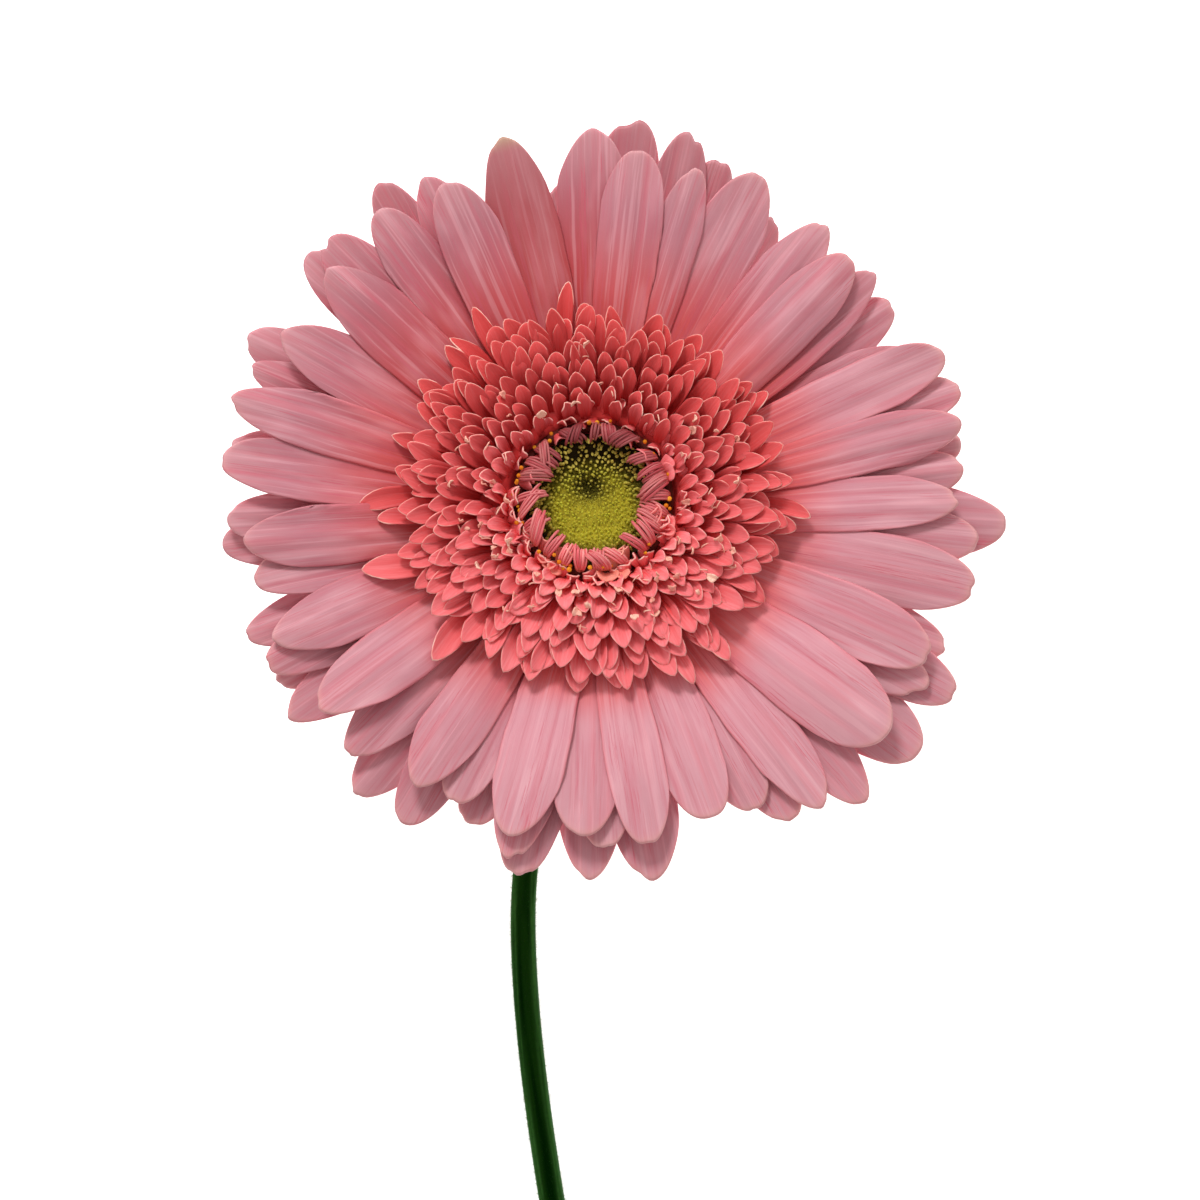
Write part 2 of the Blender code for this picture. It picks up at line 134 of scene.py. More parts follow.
# The one petal that is duller and browner, by the angle it is seen at, and its tone, past that of the others.
DULL_PETAL = 104
DULL = 1.5

# The two powers of a petal's tip, for the blunt share of them and for the rest, and the dents in it.
BLUNT_SHARE = 0.6
BLUNT_TIP = ((2.0, 2.5), (0.48, 0.56))
NARROW_TIP = ((1.7, 2.0), (0.54, 0.68))
DENTS = 2
DENT_PLACE = (-0.4, 0.4)
DENT_WIDTH = 0.13
DENT_DEPTHS = (0.0, 0.004, 0.007, 0.01)
GROOVE_WIDTH = 0.15
# The least and the most of what else differs between petals, in the order in which it is drawn.
PETAL_TRAITS = {
    "twist": (math.radians(-4), math.radians(12)),
    "arch": (-0.056, 0.322),
    "left_groove": (-0.44, -0.3),
    "right_groove": (0.3, 0.44),
    "groove": (0.08, 0.4),
    "crease": (-0.4, 0.4),
    "crease_depth": (-0.2, 0.8),
    "flutter": (0.1, 0.7),
    "rate": (0.7, 1.7),
    "ripple": (3.5, 6.0),
    "phase": (0, 1),
    "wave": (0.0, 0.35),
    "cup": (-0.9, 0.7),
    "own": (0, 1),
}

# Grids of a petal, a small floret and a bract: rows, columns, and how close they lie at the tip and the edge.
PETAL_GRID = (40, 25, 1.25, 0.5)
FLORET_GRID = (15, 9, 1.5, 0.45)
BRACT_GRID = (16, 9, 1.2, 0.0)
PETAL_THICK = 0.4
FLORET_THICK = 0.26
LOBE_THICK = 0.24
FLAKE_THICK = 0.18
BRACT_THICK = 0.5

# How a petal lies on those under it: the gap, the rows at its root that stay, and the cells compared.
PETAL_GAP = 0.3
ROOTED_ROWS = 6
LIFT_ROUNDS = 40
CELL = 0.4
CELLS_OUT = 170

# Profiles that are turned round the head's axis: (radius, height).
COLLAR = [(12.4, -9.3), (12.4, -4.0), (8.9, -4.0), (8.9, -9.3)]
TUBES_TOP = [(22.0, -2.3), (21.4, -1.5), (16.5, -0.3), (12.9, 0.6)]
TUBES = [(12.6, -3.7)] + TUBES_TOP + [(12.5, -0.6), (8.9, -0.6), (8.9, -3.7)]
CUP_FLANK = [(2.5, -21.0), (5.0, -19.9), (8.6, -17.6), (10.9, -14.4), (12.0, -10.9), (12.1, -9.6)]
CUP_FOOT = (0.0, -21.0)
CUP_TOP = [(8.6, -9.6), (0.0, -9.6)]
CURLED_FOOT = [(12.1, -0.3), (12.1, 0.6), (10.7, 0.6), (10.7, -0.3)]
COLLAR_SIDES = 72
RING_SIDES = 96

SMALL_FLORETS = 350
SMALL_TIPS = (13.4, 30.4)
SMALL_LENGTH = (5.2, 12.0)
SMALL_CLIMB = (math.radians(74), math.radians(20))
# How much steeper the florets stand on the upper side, and flatter on the lower one.
SMALL_CLIMB_SIDE = math.radians(11)
SMALL_INNERMOST_ROOT = 12.9
SMALL_WIDTH = (2.2, 3.3)
SMALL_SUNK = 0.8
GOLDEN_ANGLE = math.pi * (3 - math.sqrt(5))
TONGUE_STEPS = 60
# Short crumpled florets round the inner edge. Leans are in degrees, and one of the ranges is picked.
FRINGE = 150
FRINGE_ROOT = (12.9, 13.6)
FRINGE_LENGTH = (2.4, 4.2)
FRINGE_LEANS = ((35, 75), (105, 140))
FRINGE_WIDTH = (1.5, 2.6)
THREAD_POINTS = 12
# Longer small florets: radius of the root, height of the tip, and (angle seen, reach seen, width) of each.
STANDING_ROOT = 20.5
STANDING_TIP = 0.4
STANDING_OUT = [
    (0, 33, 2.6), (28.8, 31.2, 2.8), (100.8, 33.3, 2.6), (123, 34.2, 2.8), (127, 32.6, 2.6),
    (133, 32.1, 2.8), (146, 32, 2.8), (162, 31.8, 2.6), (176.8, 35.5, 3.4), (185.5, 32.6, 2.8),
    (201.5, 36.6, 4.4), (221.5, 34.3, 4.2), (298.5, 31.5, 2.6), (309.5, 31.6, 3.0), (353.5, 31, 3.2),
]

CURLED_FLORETS = 28
CURLED_INNER = (6.7, 8.3)
CURLED_PATH = [(11.1, 0.2), (11.3, 2.2), (10.3, 3.6), (8.7, 3.8), (7.5, 3.2), (7.2, 2.2)]
CURLED_SWINGS = ((-25, 25), (-52, 52))
CURLED_POINTS = 13
STRANDS = (3, 4, 4, 5, 6)
STRAND_SPREAD = 0.17
STRAND_WIDE = (0.24, 0.36)
STRAND_HIGH = 0.22
LOBES = 64
LOBE_ROOT = (10.8, 11.8)
LOBE_FOOT = 0.4
LOBE_LENGTH = (2.6, 3.8)
LOBE_LEANS = ((30, 65), (112, 148), (112, 148))
LOBE_WIDTH = (2.0, 3.2)
POLLEN_GRAINS = 46
POLLEN_PLACE = (10.6, 12.2)
POLLEN_HEIGHT = (1.2, 2.8)
POLLEN_LENGTH = (0.6, 0.9)
POLLEN_RADIUS = (0.28, 0.42)

DISC_RADIUS = 8.5
DISC_RIM = 0.2
DISC_DIP = 1.9
DISC_FOOT = -4.3
# The pit in the disc: right, up, half its width and half its height.
PIT = (-0.6, 2.6, 1.5, 1.2)
PIT_DEPTH = 1.0
GROUND_RADIUS = 10.4
GROUND_RINGS = 54
GROUND_SIDES = 128
DISC_BUDS = 860
DISC_HAIRS = 18000
DISC_HAIR_RADIUS = 0.055

# Rows of bracts: (how many, height of the root, radius and height of the tip).
BRACT_ROWS = [(13, -17.6, 13.4, -12.4), (16, -15.2, 15.4, -11.6)]
BRACT_SUNK = 0.5
BRACT_HALF = 1.6

NECK_TOP = -21.4
NECK_INTO_CUP = 1.0
NECK_HANDLE = 8.4
BEND = np.array([-4.0, -28.5])
BULGE = np.array([-11.2, -71.0])
CUT_END = np.array([22.0, -288.3])
BEND_HANDLE = np.array([-2.6, -14.0])
BULGE_HANDLE = np.array([0.0, 16.0])
BULGE_TO_END = np.array([0.0, -50.0])
CUT_HANDLE = np.array([-6.0, 75.0])
SOLID_STEM_SIDES = 12
STEM_SIDES = 48
STEM_RADII = (2.25, 1.75)
# Steps of the stem's three curves from its cut end up, and how many finer ones make each of them here.
STEM_STEPS = (16, 9, 9)
STEM_FINE = 6
RIBS = 9
RIB_SHARE = 0.01
CUT_SLANT = 0.7
# The face of the cut, from its edge to its middle: (share of the stem's radius, how far it stands out).
CUT_FACE = [(1.0, 0.05), (0.97, 0.05), (0.93, 0.12), (0.8, 0.05)]
CUT_FACE += [(0.62, 0.1), (0.4, 0.04), (0.2, 0.1), (0.03, 0.02)]
STEM_HAIRS = 24000
STEM_HAIR_RADIUS = 0.032

# Light, in metres and watts: a soft lamp above the head, an even fill, and a floor that glows a little.
KEY_PLACE = (-0.26, 1.14, 0.68)
KEY_TARGET = (0, 0.1, 0.02)
KEY_SIZE = 0.3
KEY_POWER = 8.6
FILL_COLOUR = (1.0, 0.93, 0.91, 1.0)
FILL_STRENGTH = 0.7
FLOOR_HALF = 2.0
FLOOR_GLOW = 0.8

# Colours of the long petals: over their length, with deep ends that are partly painted shade and a tip
# lightened as painted light, and of the streaks, the painted shade in the grooves, the rims with their painted
# seam shade, and the brown marks on them.
PETAL_LIGHT = (0.71, 0.338, 0.392, 1.0)
PETAL_LIGHT_TIP = (0.61, 0.315, 0.358, 1.0)
PETAL_DEEP_SHADED = (0.38, 0.124, 0.156, 1.0)
PETAL_PAINTED_LIT_TIP = (0.62, 0.34, 0.36, 1.0)
PETAL_ROOT_LIGHT = (0.82, 0.165, 0.165, 1.0)
PETAL_ROOT_DEEP_SHADED = (0.48, 0.05, 0.05, 1.0)
PETAL_VEIN = (0.54, 0.105, 0.148, 1.0)
PETAL_FLUSH = (0.66, 0.148, 0.19, 1.0)
PETAL_PALE = (0.8, 0.455, 0.5, 1.0)
PETAL_LANE = (0.52, 0.12, 0.17, 1.0)
PETAL_LINE = (0.55, 0.088, 0.138, 1.0)
PETAL_GROOVE_SHADE = (0.5, 0.095, 0.13, 1.0)
PETAL_RIM_SEAM_SHADE = (0.76, 0.2, 0.23, 1.0)
PETAL_RIM_TIP = (0.76, 0.4, 0.355, 1.0)
PETAL_BROWN = (0.36, 0.1, 0.11, 1.0)
PETAL_DRY_TIP = (0.44, 0.32, 0.21, 1.0)
# Colours of the small florets: over their length, a copy darkened as painted shade, and of the marks, painted
# sheen and rims on them, with a near-black painted shade for hidden parts.
FLORET_FOOT = (0.85, 0.058, 0.052, 1.0)
FLORET_TIP = (0.92, 0.205, 0.222, 1.0)
FLORET_TINT = (0.94, 0.275, 0.3, 1.0)
FLORET_SHADED_FOOT = (0.55, 0.03, 0.028, 1.0)
FLORET_SHADED_TIP = (0.65, 0.074, 0.073, 1.0)
FLORET_PAINTED_SHEEN = (0.94, 0.305, 0.325, 1.0)
FLORET_VEIN = (0.76, 0.083, 0.09, 1.0)
FLORET_PALE_AND_LIT_TIP = (0.96, 0.385, 0.305, 1.0)
FLORET_PAINTED_DARK = (0.09, 0.014, 0.01, 1.0)
FLORET_PEACH = (0.86, 0.35, 0.24, 1.0)
FLORET_RIM = (0.97, 0.63, 0.53, 1.0)
# Colours of the curled strands, of which the shaded one is painted shade.
STRAND_LIGHT = (0.88, 0.17, 0.19, 1.0)
STRAND_DARK = (0.72, 0.1, 0.125, 1.0)
STRAND_STRIPE = (0.97, 0.4, 0.37, 1.0)
STRAND_SHADED = (0.17, 0.018, 0.024, 1.0)
STRAND_FOOT = (0.9, 0.36, 0.19, 1.0)
# Colours of the stem: its flanks and its top from dark to light, the top darkened as painted shade, and what is
# paler low on the flanks.
STEM_FLANK = ((0.012, 0.05, 0.008, 1.0), (0.03, 0.105, 0.02, 1.0))
STEM_LOW = (0.075, 0.17, 0.075, 1.0)
STEM_SHADED_TOP = ((0.001, 0.013, 0.0007, 1.0), (0.006, 0.032, 0.003, 1.0))
# How far light runs under the surface, for red, green and blue.
PETAL_GLOW = (1.0, 0.82, 0.78)
FLESH_GLOW = (1.0, 0.7, 0.6)
SPECK_GLOW = (0.8, 0.6, 0.2)
LEAF_GLOW = (0.5, 0.8, 0.2)
STEM_GLOW = (0.7, 1.0, 0.5)

# What the values that a mesh holds at its points are stored as: the attribute, and the place in it.
STORED = {
    "along": ("spot", 0),
    "across": ("spot", 1),
    "side": ("spot", 2),
    "tone_and_shade": ("look", 0),
    "own": ("look", 1),
    "rim": ("look", 2),
}


def unit(vectors):
    """The vectors, made one long."""
    return vectors / np.linalg.norm(vectors, axis=-1, keepdims=True)


def mix(ends, share):
    """The value this share of the way from the first end to the second."""
    return ends[0] + (ends[1] - ends[0]) * share


def smooth(value, low, high):
    """From 0 where the value is low to 1 where it is high, without corners."""
    share = np.clip((value - low) / (high - low), 0, 1)
    return share * share * (3 - 2 * share)


def hump(value, centre, width):
    """1 where the value is at the centre, falling softly to 0 on both sides."""
    return np.exp(-(((value - centre) / width) ** 2))


def polar(radius, angle, height):
    """(right, up, height) of points on the head."""
    radius, angle, height = np.broadcast_arrays(radius, angle, height)
    return np.stack([radius * np.cos(angle), radius * np.sin(angle), height], -1)


def heading(angle):
    """The level direction at this angle, in the head's plane."""
    return np.stack([np.cos(angle), np.sin(angle), np.zeros_like(angle)], -1)


def rolled(across, normal, angle):
    """Two directions of a surface, turned by an angle about the third."""
    cos_angle, sin_angle = np.cos(angle)[..., None], np.sin(angle)[..., None]
    return across * cos_angle - normal * sin_angle, normal * cos_angle + across * sin_angle


def spaced(rows, columns, power, bend):
    """u from root to tip and v from edge to edge, closer together near the rim."""
    u = 1 - (1 - np.linspace(0, 1, rows)) ** power
    x = np.linspace(-1, 1, columns)
    return u[:, None], ((1 - bend) * x + bend * np.sin(math.pi / 2 * x))[None, :]


def to_world(points):
    """Points on the head, in metres from the middle of the surface."""
    return HEAD + points @ TO_WORLD


def height_on_head(z, up_head):
    """The height on the head's axis of a point this high over the surface, in millimetres."""
    return (z + up_head * math.sin(LEAN) - HEAD[2] / MM) / math.cos(LEAN)


def tip_of(angle, reach, height, seat):
    """(radius, angle, height) on the head of a tip that the viewer sees at this angle and reach.

    With a seat, the tip is that high over the surface, whatever height says.
    """
    right = reach * math.cos(angle)
    up_head = reach * math.sin(angle)
    for _ in range(TIP_ROUNDS):
        if seat is not None:
            height = height_on_head(seat, up_head)
        behind = up_head * math.sin(VIEW_TILT) - height * math.cos(VIEW_TILT)
        grown = 1 + behind * MM / VIEW_DISTANCE
        right = reach * math.cos(angle) * grown
        up_head = (reach * math.sin(angle) * grown - height * math.sin(VIEW_TILT)) / math.cos(VIEW_TILT)
    return math.hypot(right, up_head), math.atan2(up_head, right), height


def climb(u, start, end, start_slope, end_slope):
    """Height at u from 0 to 1, and how fast it changes, on a curve between two ends with these slopes."""
    height = (
        (2 * u**3 - 3 * u**2 + 1) * start
        + (u**3 - 2 * u**2 + u) * start_slope
        + (3 * u**2 - 2 * u**3) * end
        + (u**3 - u**2) * end_slope
    )
    rate = (
        (6 * u**2 - 6 * u) * (start - end)
        + (3 * u**2 - 4 * u + 1) * start_slope
        + (3 * u**2 - 2 * u) * end_slope
    )
    return height, rate


class Pile:
    """Closed surfaces gathered into one mesh, with values at each point that the materials read.

    "spot" is (along, across, +1 above and -1 below).
    "look" is (tone with painted shade, a number of the surface's own, nearness to the rim).
    """

    def __init__(self):
        self.points, self.faces, self.spots, self.looks, self.slots = [], [], [], [], []
        self.count = 0

    def add(self, points, faces, spot, look, slot=0):
        self.points.append(points)
        for group in faces:
            self.faces.append(np.asarray(group) + self.count)
            self.slots += [slot] * len(group)
        self.spots.append(np.broadcast_to(spot, points.shape))
        self.looks.append(np.broadcast_to(look, points.shape))
        self.count += len(points)

    def make(self, name, node, materials, in_world=False):
        """Make the piece, which takes the node's place and rides on the one body."""
        points = np.concatenate(self.points)
        if not in_world:
            points = to_world(points)
        mesh = bpy.data.meshes.new(name)
        mesh.from_pydata(points.tolist(), [], [face for group in self.faces for face in group.tolist()])
        for key, values in (("spot", self.spots), ("look", self.looks)):
            stored = mesh.attributes.new(key, "FLOAT_VECTOR", "POINT")
            stored.data.foreach_set("vector", np.concatenate(values).astype(np.float32).ravel())
        for material in materials:
            mesh.materials.append(material)
        mesh.polygons.foreach_set("material_index", self.slots)
        mesh.shade_smooth()
        piece = bpy.data.objects.new(name, mesh)
        bpy.context.scene.collection.objects.link(piece)
        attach(piece, "root")
        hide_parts(node)


def quads(grid, flip=False):
    """The four-sided faces between the numbered points of a grid."""
    a, b, c, d = grid[:-1, :-1], grid[1:, :-1], grid[1:, 1:], grid[:-1, 1:]
    corners = [a, d, c, b] if flip else [a, b, c, d]
    return np.stack(corners, -1).reshape(-1, 4)


def sheet(middle, thick):
    """A closed thin body round a grid of points: (points, faces, +1 above and -1 below)."""
    rows, columns = middle.shape[:2]
    normal = unit(np.cross(np.gradient(middle, axis=1), np.gradient(middle, axis=0)))
    inside = np.zeros((rows, columns, 1))
    inside[1:-1, 1:-1] = 1
    above = middle + normal * thick / 2 * inside
    below = middle - normal * thick / 2 * inside
    upper = np.arange(rows * columns).reshape(rows, columns)
    lower = upper.copy()
    hidden = np.arange((rows - 2) * (columns - 2))
    lower[1:-1, 1:-1] = rows * columns + hidden.reshape(rows - 2, columns - 2)
    points = np.concatenate([above.reshape(-1, 3), below[1:-1, 1:-1].reshape(-1, 3)])
    side = np.concatenate([inside.ravel(), np.full(len(hidden), -1.0)])
    return points, [np.concatenate([quads(upper, True), quads(lower)])], side


def both_sides(grid):
    """Values on a sheet's grid, in the order of its points."""
    return np.concatenate([grid.ravel(), grid[1:-1, 1:-1].ravel()])


def add_sheet(pile, middle, thick, along, across, rim, tone_and_shade, own, slot=0):
    """A closed thin body with its values at each point."""
    points, faces, side = sheet(middle, thick)
    spot = np.stack([both_sides(along), both_sides(across), side], -1)
    look = np.stack([np.full(len(points), tone_and_shade), np.full(len(points), own), both_sides(rim)], -1)
    pile.add(points, faces, spot, look, slot)


def rings(path, wide, high, sides, up):
    """Rings of points round a path, so wide across it and so high along up."""
    ahead = unit(np.gradient(path, axis=0))
    side = unit(np.cross(ahead, up))
    above = np.cross(side, ahead)
    turn = np.linspace(0, 2 * math.pi, sides, endpoint=False)[None, :, None]
    wide, high = (np.broadcast_to(value, len(path))[:, None, None] for value in (wide, high))
    return path[:, None] + wide * np.cos(turn) * side[:, None] + high * np.sin(turn) * above[:, None]


def turns_in(around, loop):
    """Whether a tube through these rings would face inwards, from the sign of its volume."""
    rows = np.concatenate([around, around[:1]]) if loop else around
    a, b = rows[:-1], rows[1:]
    c, d = np.roll(b, -1, axis=1), np.roll(a, -1, axis=1)
    volume = np.sum(a * np.cross(d, c)) + np.sum(a * np.cross(c, b))
    if not loop:
        for ring, sign in ((around[0], -1), (around[-1], 1)):
            volume += sign * np.sum(ring[0] * np.cross(ring, np.roll(ring, -1, axis=0)))
    return volume < 0


def add_tube(pile, around, tone_and_shade, own, slot=0, loop=False):
    """A closed tube through rings of points. With loop, its last ring joins its first."""
    count, sides = around.shape[:2]
    grid = np.arange(count * sides).reshape(count, sides)
    grid = np.concatenate([grid, grid[:, :1]], 1)
    if loop:
        grid = np.concatenate([grid, grid[:1]])
    flip = turns_in(around, loop)
    faces = [quads(grid, not flip)]
    if not loop:
        ends = [grid[:1, :-1], grid[-1:, :-1]]
        faces += [ends[0], ends[1][:, ::-1]] if flip else [ends[0][:, ::-1], ends[1]]
    along = np.repeat(np.linspace(0, 1, count), sides)
    across = np.tile(np.linspace(0, 1, sides, endpoint=False), count)
    spot = np.stack([along, across, np.zeros(len(along))], -1)
    look = np.stack(np.broadcast_arrays(np.ravel(tone_and_shade), own, 0.0), -1)
    pile.add(around.reshape(-1, 3), faces, spot, look, slot)


def add_ovoid(pile, base, axis, length, radius, tone_and_shade, own, fat_end=0.5):
    """An egg shape from its base along an axis, fattest at fat_end of its length."""
    share = np.append(np.linspace(0.02, 1, 6)[:-1], 0.985)
    path = base + axis * (length * share)[:, None]
    size = radius * np.sin(math.pi * share ** (math.log(0.5) / math.log(fat_end))) ** 0.7
    across = np.array([1.0, 0.13, 0.0])
    add_tube(pile, rings(path, size, size, 8, across), tone_and_shade, own)


def add_cones(pile, bases, tips, radius, tone_and_shade, own):
    """Many thin three-sided hairs, each with its own tone and painted shade, and number."""
    count = len(bases)
    ahead = unit(tips - bases)
    side = unit(np.cross(ahead, np.array([0.31, 0.17, 0.93])))
    above = np.cross(side, ahead)
    corners = []
    for k in range(3):
        turn = 2 * math.pi * k / 3
        corners.append(bases + radius * (math.cos(turn) * side + math.sin(turn) * above))
    points = np.stack(corners + [tips], 1).reshape(-1, 3)
    start = 4 * np.arange(count)[:, None]
    faces = np.concatenate([start + np.array(f) for f in ((0, 3, 1), (1, 3, 2), (2, 3, 0), (0, 1, 2))])
    spot = np.tile([[0.0, 0.0, 0.0], [0.0, 0.3, 0.0], [0.0, 0.6, 0.0], [1.0, 0.0, 0.0]], (count, 1))
    look = np.repeat(np.stack([tone_and_shade, own, np.zeros(count)], -1), 4, axis=0)
    pile.add(points, [faces], spot, look)


def turned(pile, profile, sides, tone_and_shade, slot=0, loop=False):
    """A profile of (radius, height), up its outer side, turned round the head's axis."""
    angle = np.linspace(0, 2 * math.pi, sides, endpoint=False)
    around = np.array([polar(max(radius, 0.01), -angle, height) for radius, height in profile])
    add_tube(pile, around[::-1], tone_and_shade, 0.5, slot, loop)


class Heights:
    """The highest point reached so far over each small cell of the head's plane."""

    def __init__(self):
        self.grid = np.full((2 * CELLS_OUT, 2 * CELLS_OUT), -1e3)

    def cells(self, points):
        at = np.clip(np.round(points[..., :2] / CELL).astype(int) + CELLS_OUT, 1, 2 * CELLS_OUT - 2)
        return at[..., 0], at[..., 1]

    def under(self, points):
        i, j = self.cells(points)
        return np.max([self.grid[i + a, j + b] for a in (-1, 0, 1) for b in (-1, 0, 1)], axis=0)

    def cover(self, middle):
        fine = middle
        for axis in (0, 1, 0, 1):
            at = np.arange(2 * fine.shape[axis] - 1)
            fine = (np.take(fine, at // 2, axis) + np.take(fine, (at + 1) // 2, axis)) / 2
        np.maximum.at(self.grid, self.cells(fine), fine[..., 2])


def laid_on(middle, heights):
    """The sheet's grid, raised smoothly where it would cut through what lies under it, except at its root."""
    need = np.maximum(heights.under(middle) + PETAL_GAP - middle[..., 2], 0)
    need[:ROOTED_ROWS] = 0
    lift = need
    for _ in range(LIFT_ROUNDS):
        edged = np.pad(lift, 1, mode="edge")
        near = (edged[:-2, 1:-1] + edged[2:, 1:-1] + edged[1:-1, :-2] + edged[1:-1, 2:]) / 4
        lift = np.maximum(need, near)
    raised = middle.copy()
    raised[..., 2] += lift
    return raised


def petal_relief(s, v, half, trait):
    """How far a petal stands off its flat shape: arch, grooves, crease, flutter, wave and cupped tip."""
    grown = smooth(s, 0.15, 0.5)
    edge = np.abs(v)
    relief = -trait["arch"] * half * edge**1.8
    groove = trait["groove"] * grown * (1 - 0.6 * smooth(s, 0.85, 1.0))
    for place in (trait["left_groove"], trait["right_groove"]):
        relief = relief - groove * hump(v, place, GROOVE_WIDTH)
    relief = relief - trait["crease_depth"] * grown * np.sqrt((v - trait["crease"]) ** 2 + 0.004)
    flutter = np.sin(2 * math.pi * (trait["rate"] * s + trait["phase"]))
    relief = relief + trait["flutter"] * grown * flutter * edge**3 * np.sign(v)
    relief = relief + trait["wave"] * grown * np.sin(2 * math.pi * (0.9 * s + trait["phase"]))
    return relief + trait["cup"] * smooth(s, 0.72, 1.0) * (0.35 + v * v)


def edge_wander(s, v, trait):
    """How much wider or narrower a petal is than its plain outline, on each side of its middle."""
    side = np.where(v < 0, 0.0, 0.37)
    slow = np.sin(2 * math.pi * (1.6 * s + trait["phase"] + side))
    quick = np.sin(2 * math.pi * (trait["ripple"] * s + 3 * trait["phase"] - side))
    return 1 + np.abs(v) * smooth(s, 0.2, 0.5) * (0.024 * slow + 0.014 * quick)


def ray_petal(whorl, petal, raised, sway, trait):
    """The middle surface of a long petal, and how far along the petal each point is."""
    seen, reach, width = petal
    angle = math.radians(seen)
    sags = whorl is REAR_WHORL and SAG_FROM < angle < SAG_TO
    seat = SAG_STEP * raised if sags else 0.0
    root_height = whorl["root"] + NEIGHBOUR_STEP / 3 * raised
    tip_height = whorl["tip"] + NEIGHBOUR_STEP * raised
    radius, angle, tip_height = tip_of(angle, reach, tip_height, seat - SAG_PRESS if sags else None)
    length = radius - PETAL_ROOT
    u, v = spaced(*PETAL_GRID)
    tip_shape = (1 - np.abs(v) ** trait["tip_a"]) ** trait["tip_b"]
    for place, dent in trait["dents"]:
        tip_shape = tip_shape - dent * hump(v, place, DENT_WIDTH) / (1 - WIDEST)
    s = u * (WIDEST + (1 - WIDEST) * tip_shape)
    swell = np.sin(math.pi / 2 * np.clip(s / WIDEST, 0, 1)) ** ROOT_POWER
    half = width / 2 * (ROOT_SHARE + (1 - ROOT_SHARE) * swell) * edge_wander(s, v, trait)
    tip_slope = math.tan(LEAN) * math.sin(angle) if sags else whorl["tip_slope"]
    height, rate = climb(s, root_height, tip_height, whorl["root_slope"] * length, tip_slope * length)
    turn = angle + sway * (1 - s)
    out = PETAL_ROOT + length * s
    east = length * np.cos(turn) + out * sway * np.sin(turn)
    north = length * np.sin(turn) - out * sway * np.cos(turn)
    onward = unit(np.stack([east, north, rate], -1))
    side = unit(np.cross(onward, AXIS))
    side, normal = rolled(side, np.cross(side, onward), trait["twist"] * smooth(s, 0.1, 0.8))
    relief = petal_relief(s, v, half, trait)
    middle = polar(out, turn, height) + side * (half * v)[..., None] + normal * relief[..., None]
    middle[..., 2] = np.maximum(middle[..., 2], height_on_head(seat + SAG_CLEAR, middle[..., 1]))
    return middle, s


def ray_traits(draw, seen, whorl):
    """How one petal differs from the next."""
    tip = BLUNT_TIP if draw.random() < BLUNT_SHARE else NARROW_TIP
    trait = {"tip_a": draw.uniform(*tip[0]), "tip_b": draw.uniform(*tip[1])}
    trait["dents"] = [(draw.uniform(*DENT_PLACE), draw.choice(DENT_DEPTHS)) for _ in range(DENTS)]
    # Painted shade: the petal is made deeper pink the nearer its angle lies to the top left of the head, and
    # the more layers lie over it; the random spread is its own tone.
    tone_and_shade = TONE_AND_SHADE_MEAN + PAINTED_SHADE_SWING * math.cos(math.radians(seen - MOST_SHADED_AT)) + whorl["painted_shade"]
    tone_and_shade += draw.uniform(-DEPTH_SPREAD, DEPTH_SPREAD)
    for name, ends in PETAL_TRAITS.items():
        trait[name] = draw.uniform(*ends)
    is_dull = whorl is FRONT_WHORL and seen == DULL_PETAL
    trait["tone_and_shade"] = DULL if is_dull else min(max(tone_and_shade, 0.0), 1.0)
    return trait


def ray_petals(look):
    """The long petals, laid from the lowest up, each raised where it would cut through those under it."""
    draw = random.Random(SEED)
    sways = {name: [draw.uniform(-SWAY, SWAY) for _ in whorl["petals"]] for name, whorl in WHORLS.items()}
    draw = random.Random(SEED + 1)
    heights = Heights()
    _, v = spaced(*PETAL_GRID)
    rows = np.linspace(0, 1, PETAL_GRID[0])[:, None]
    for name in ("rear", "middle", "front"):
        whorl = WHORLS[name]
        pile = Pile()
        for i in sorted(range(len(whorl["petals"])), key=lambda i: (i % 2, i)):
            petal = whorl["petals"][i]
            trait = ray_traits(draw, petal[0], whorl)
            middle, s = ray_petal(whorl, petal, i % 2, sways[name][i], trait)
            middle = laid_on(middle, heights)
            heights.cover(middle)
            rim = np.maximum(smooth(np.abs(v), 0.86, 1.0), smooth(rows, 0.93, 1.0) * (s > 0.5))
            across = np.broadcast_to(v, s.shape)
            add_sheet(pile, middle, PETAL_THICK, s, across, rim, trait["tone_and_shade"], trait["own"])
        if name == "rear":
            # Painted shade: the collar under the petals takes their most shaded colour.
            turned(pile, COLLAR, COLLAR_SIDES, 1.0, loop=True)
        pile.make("ray_petals_" + name, "ray_petals", [look])


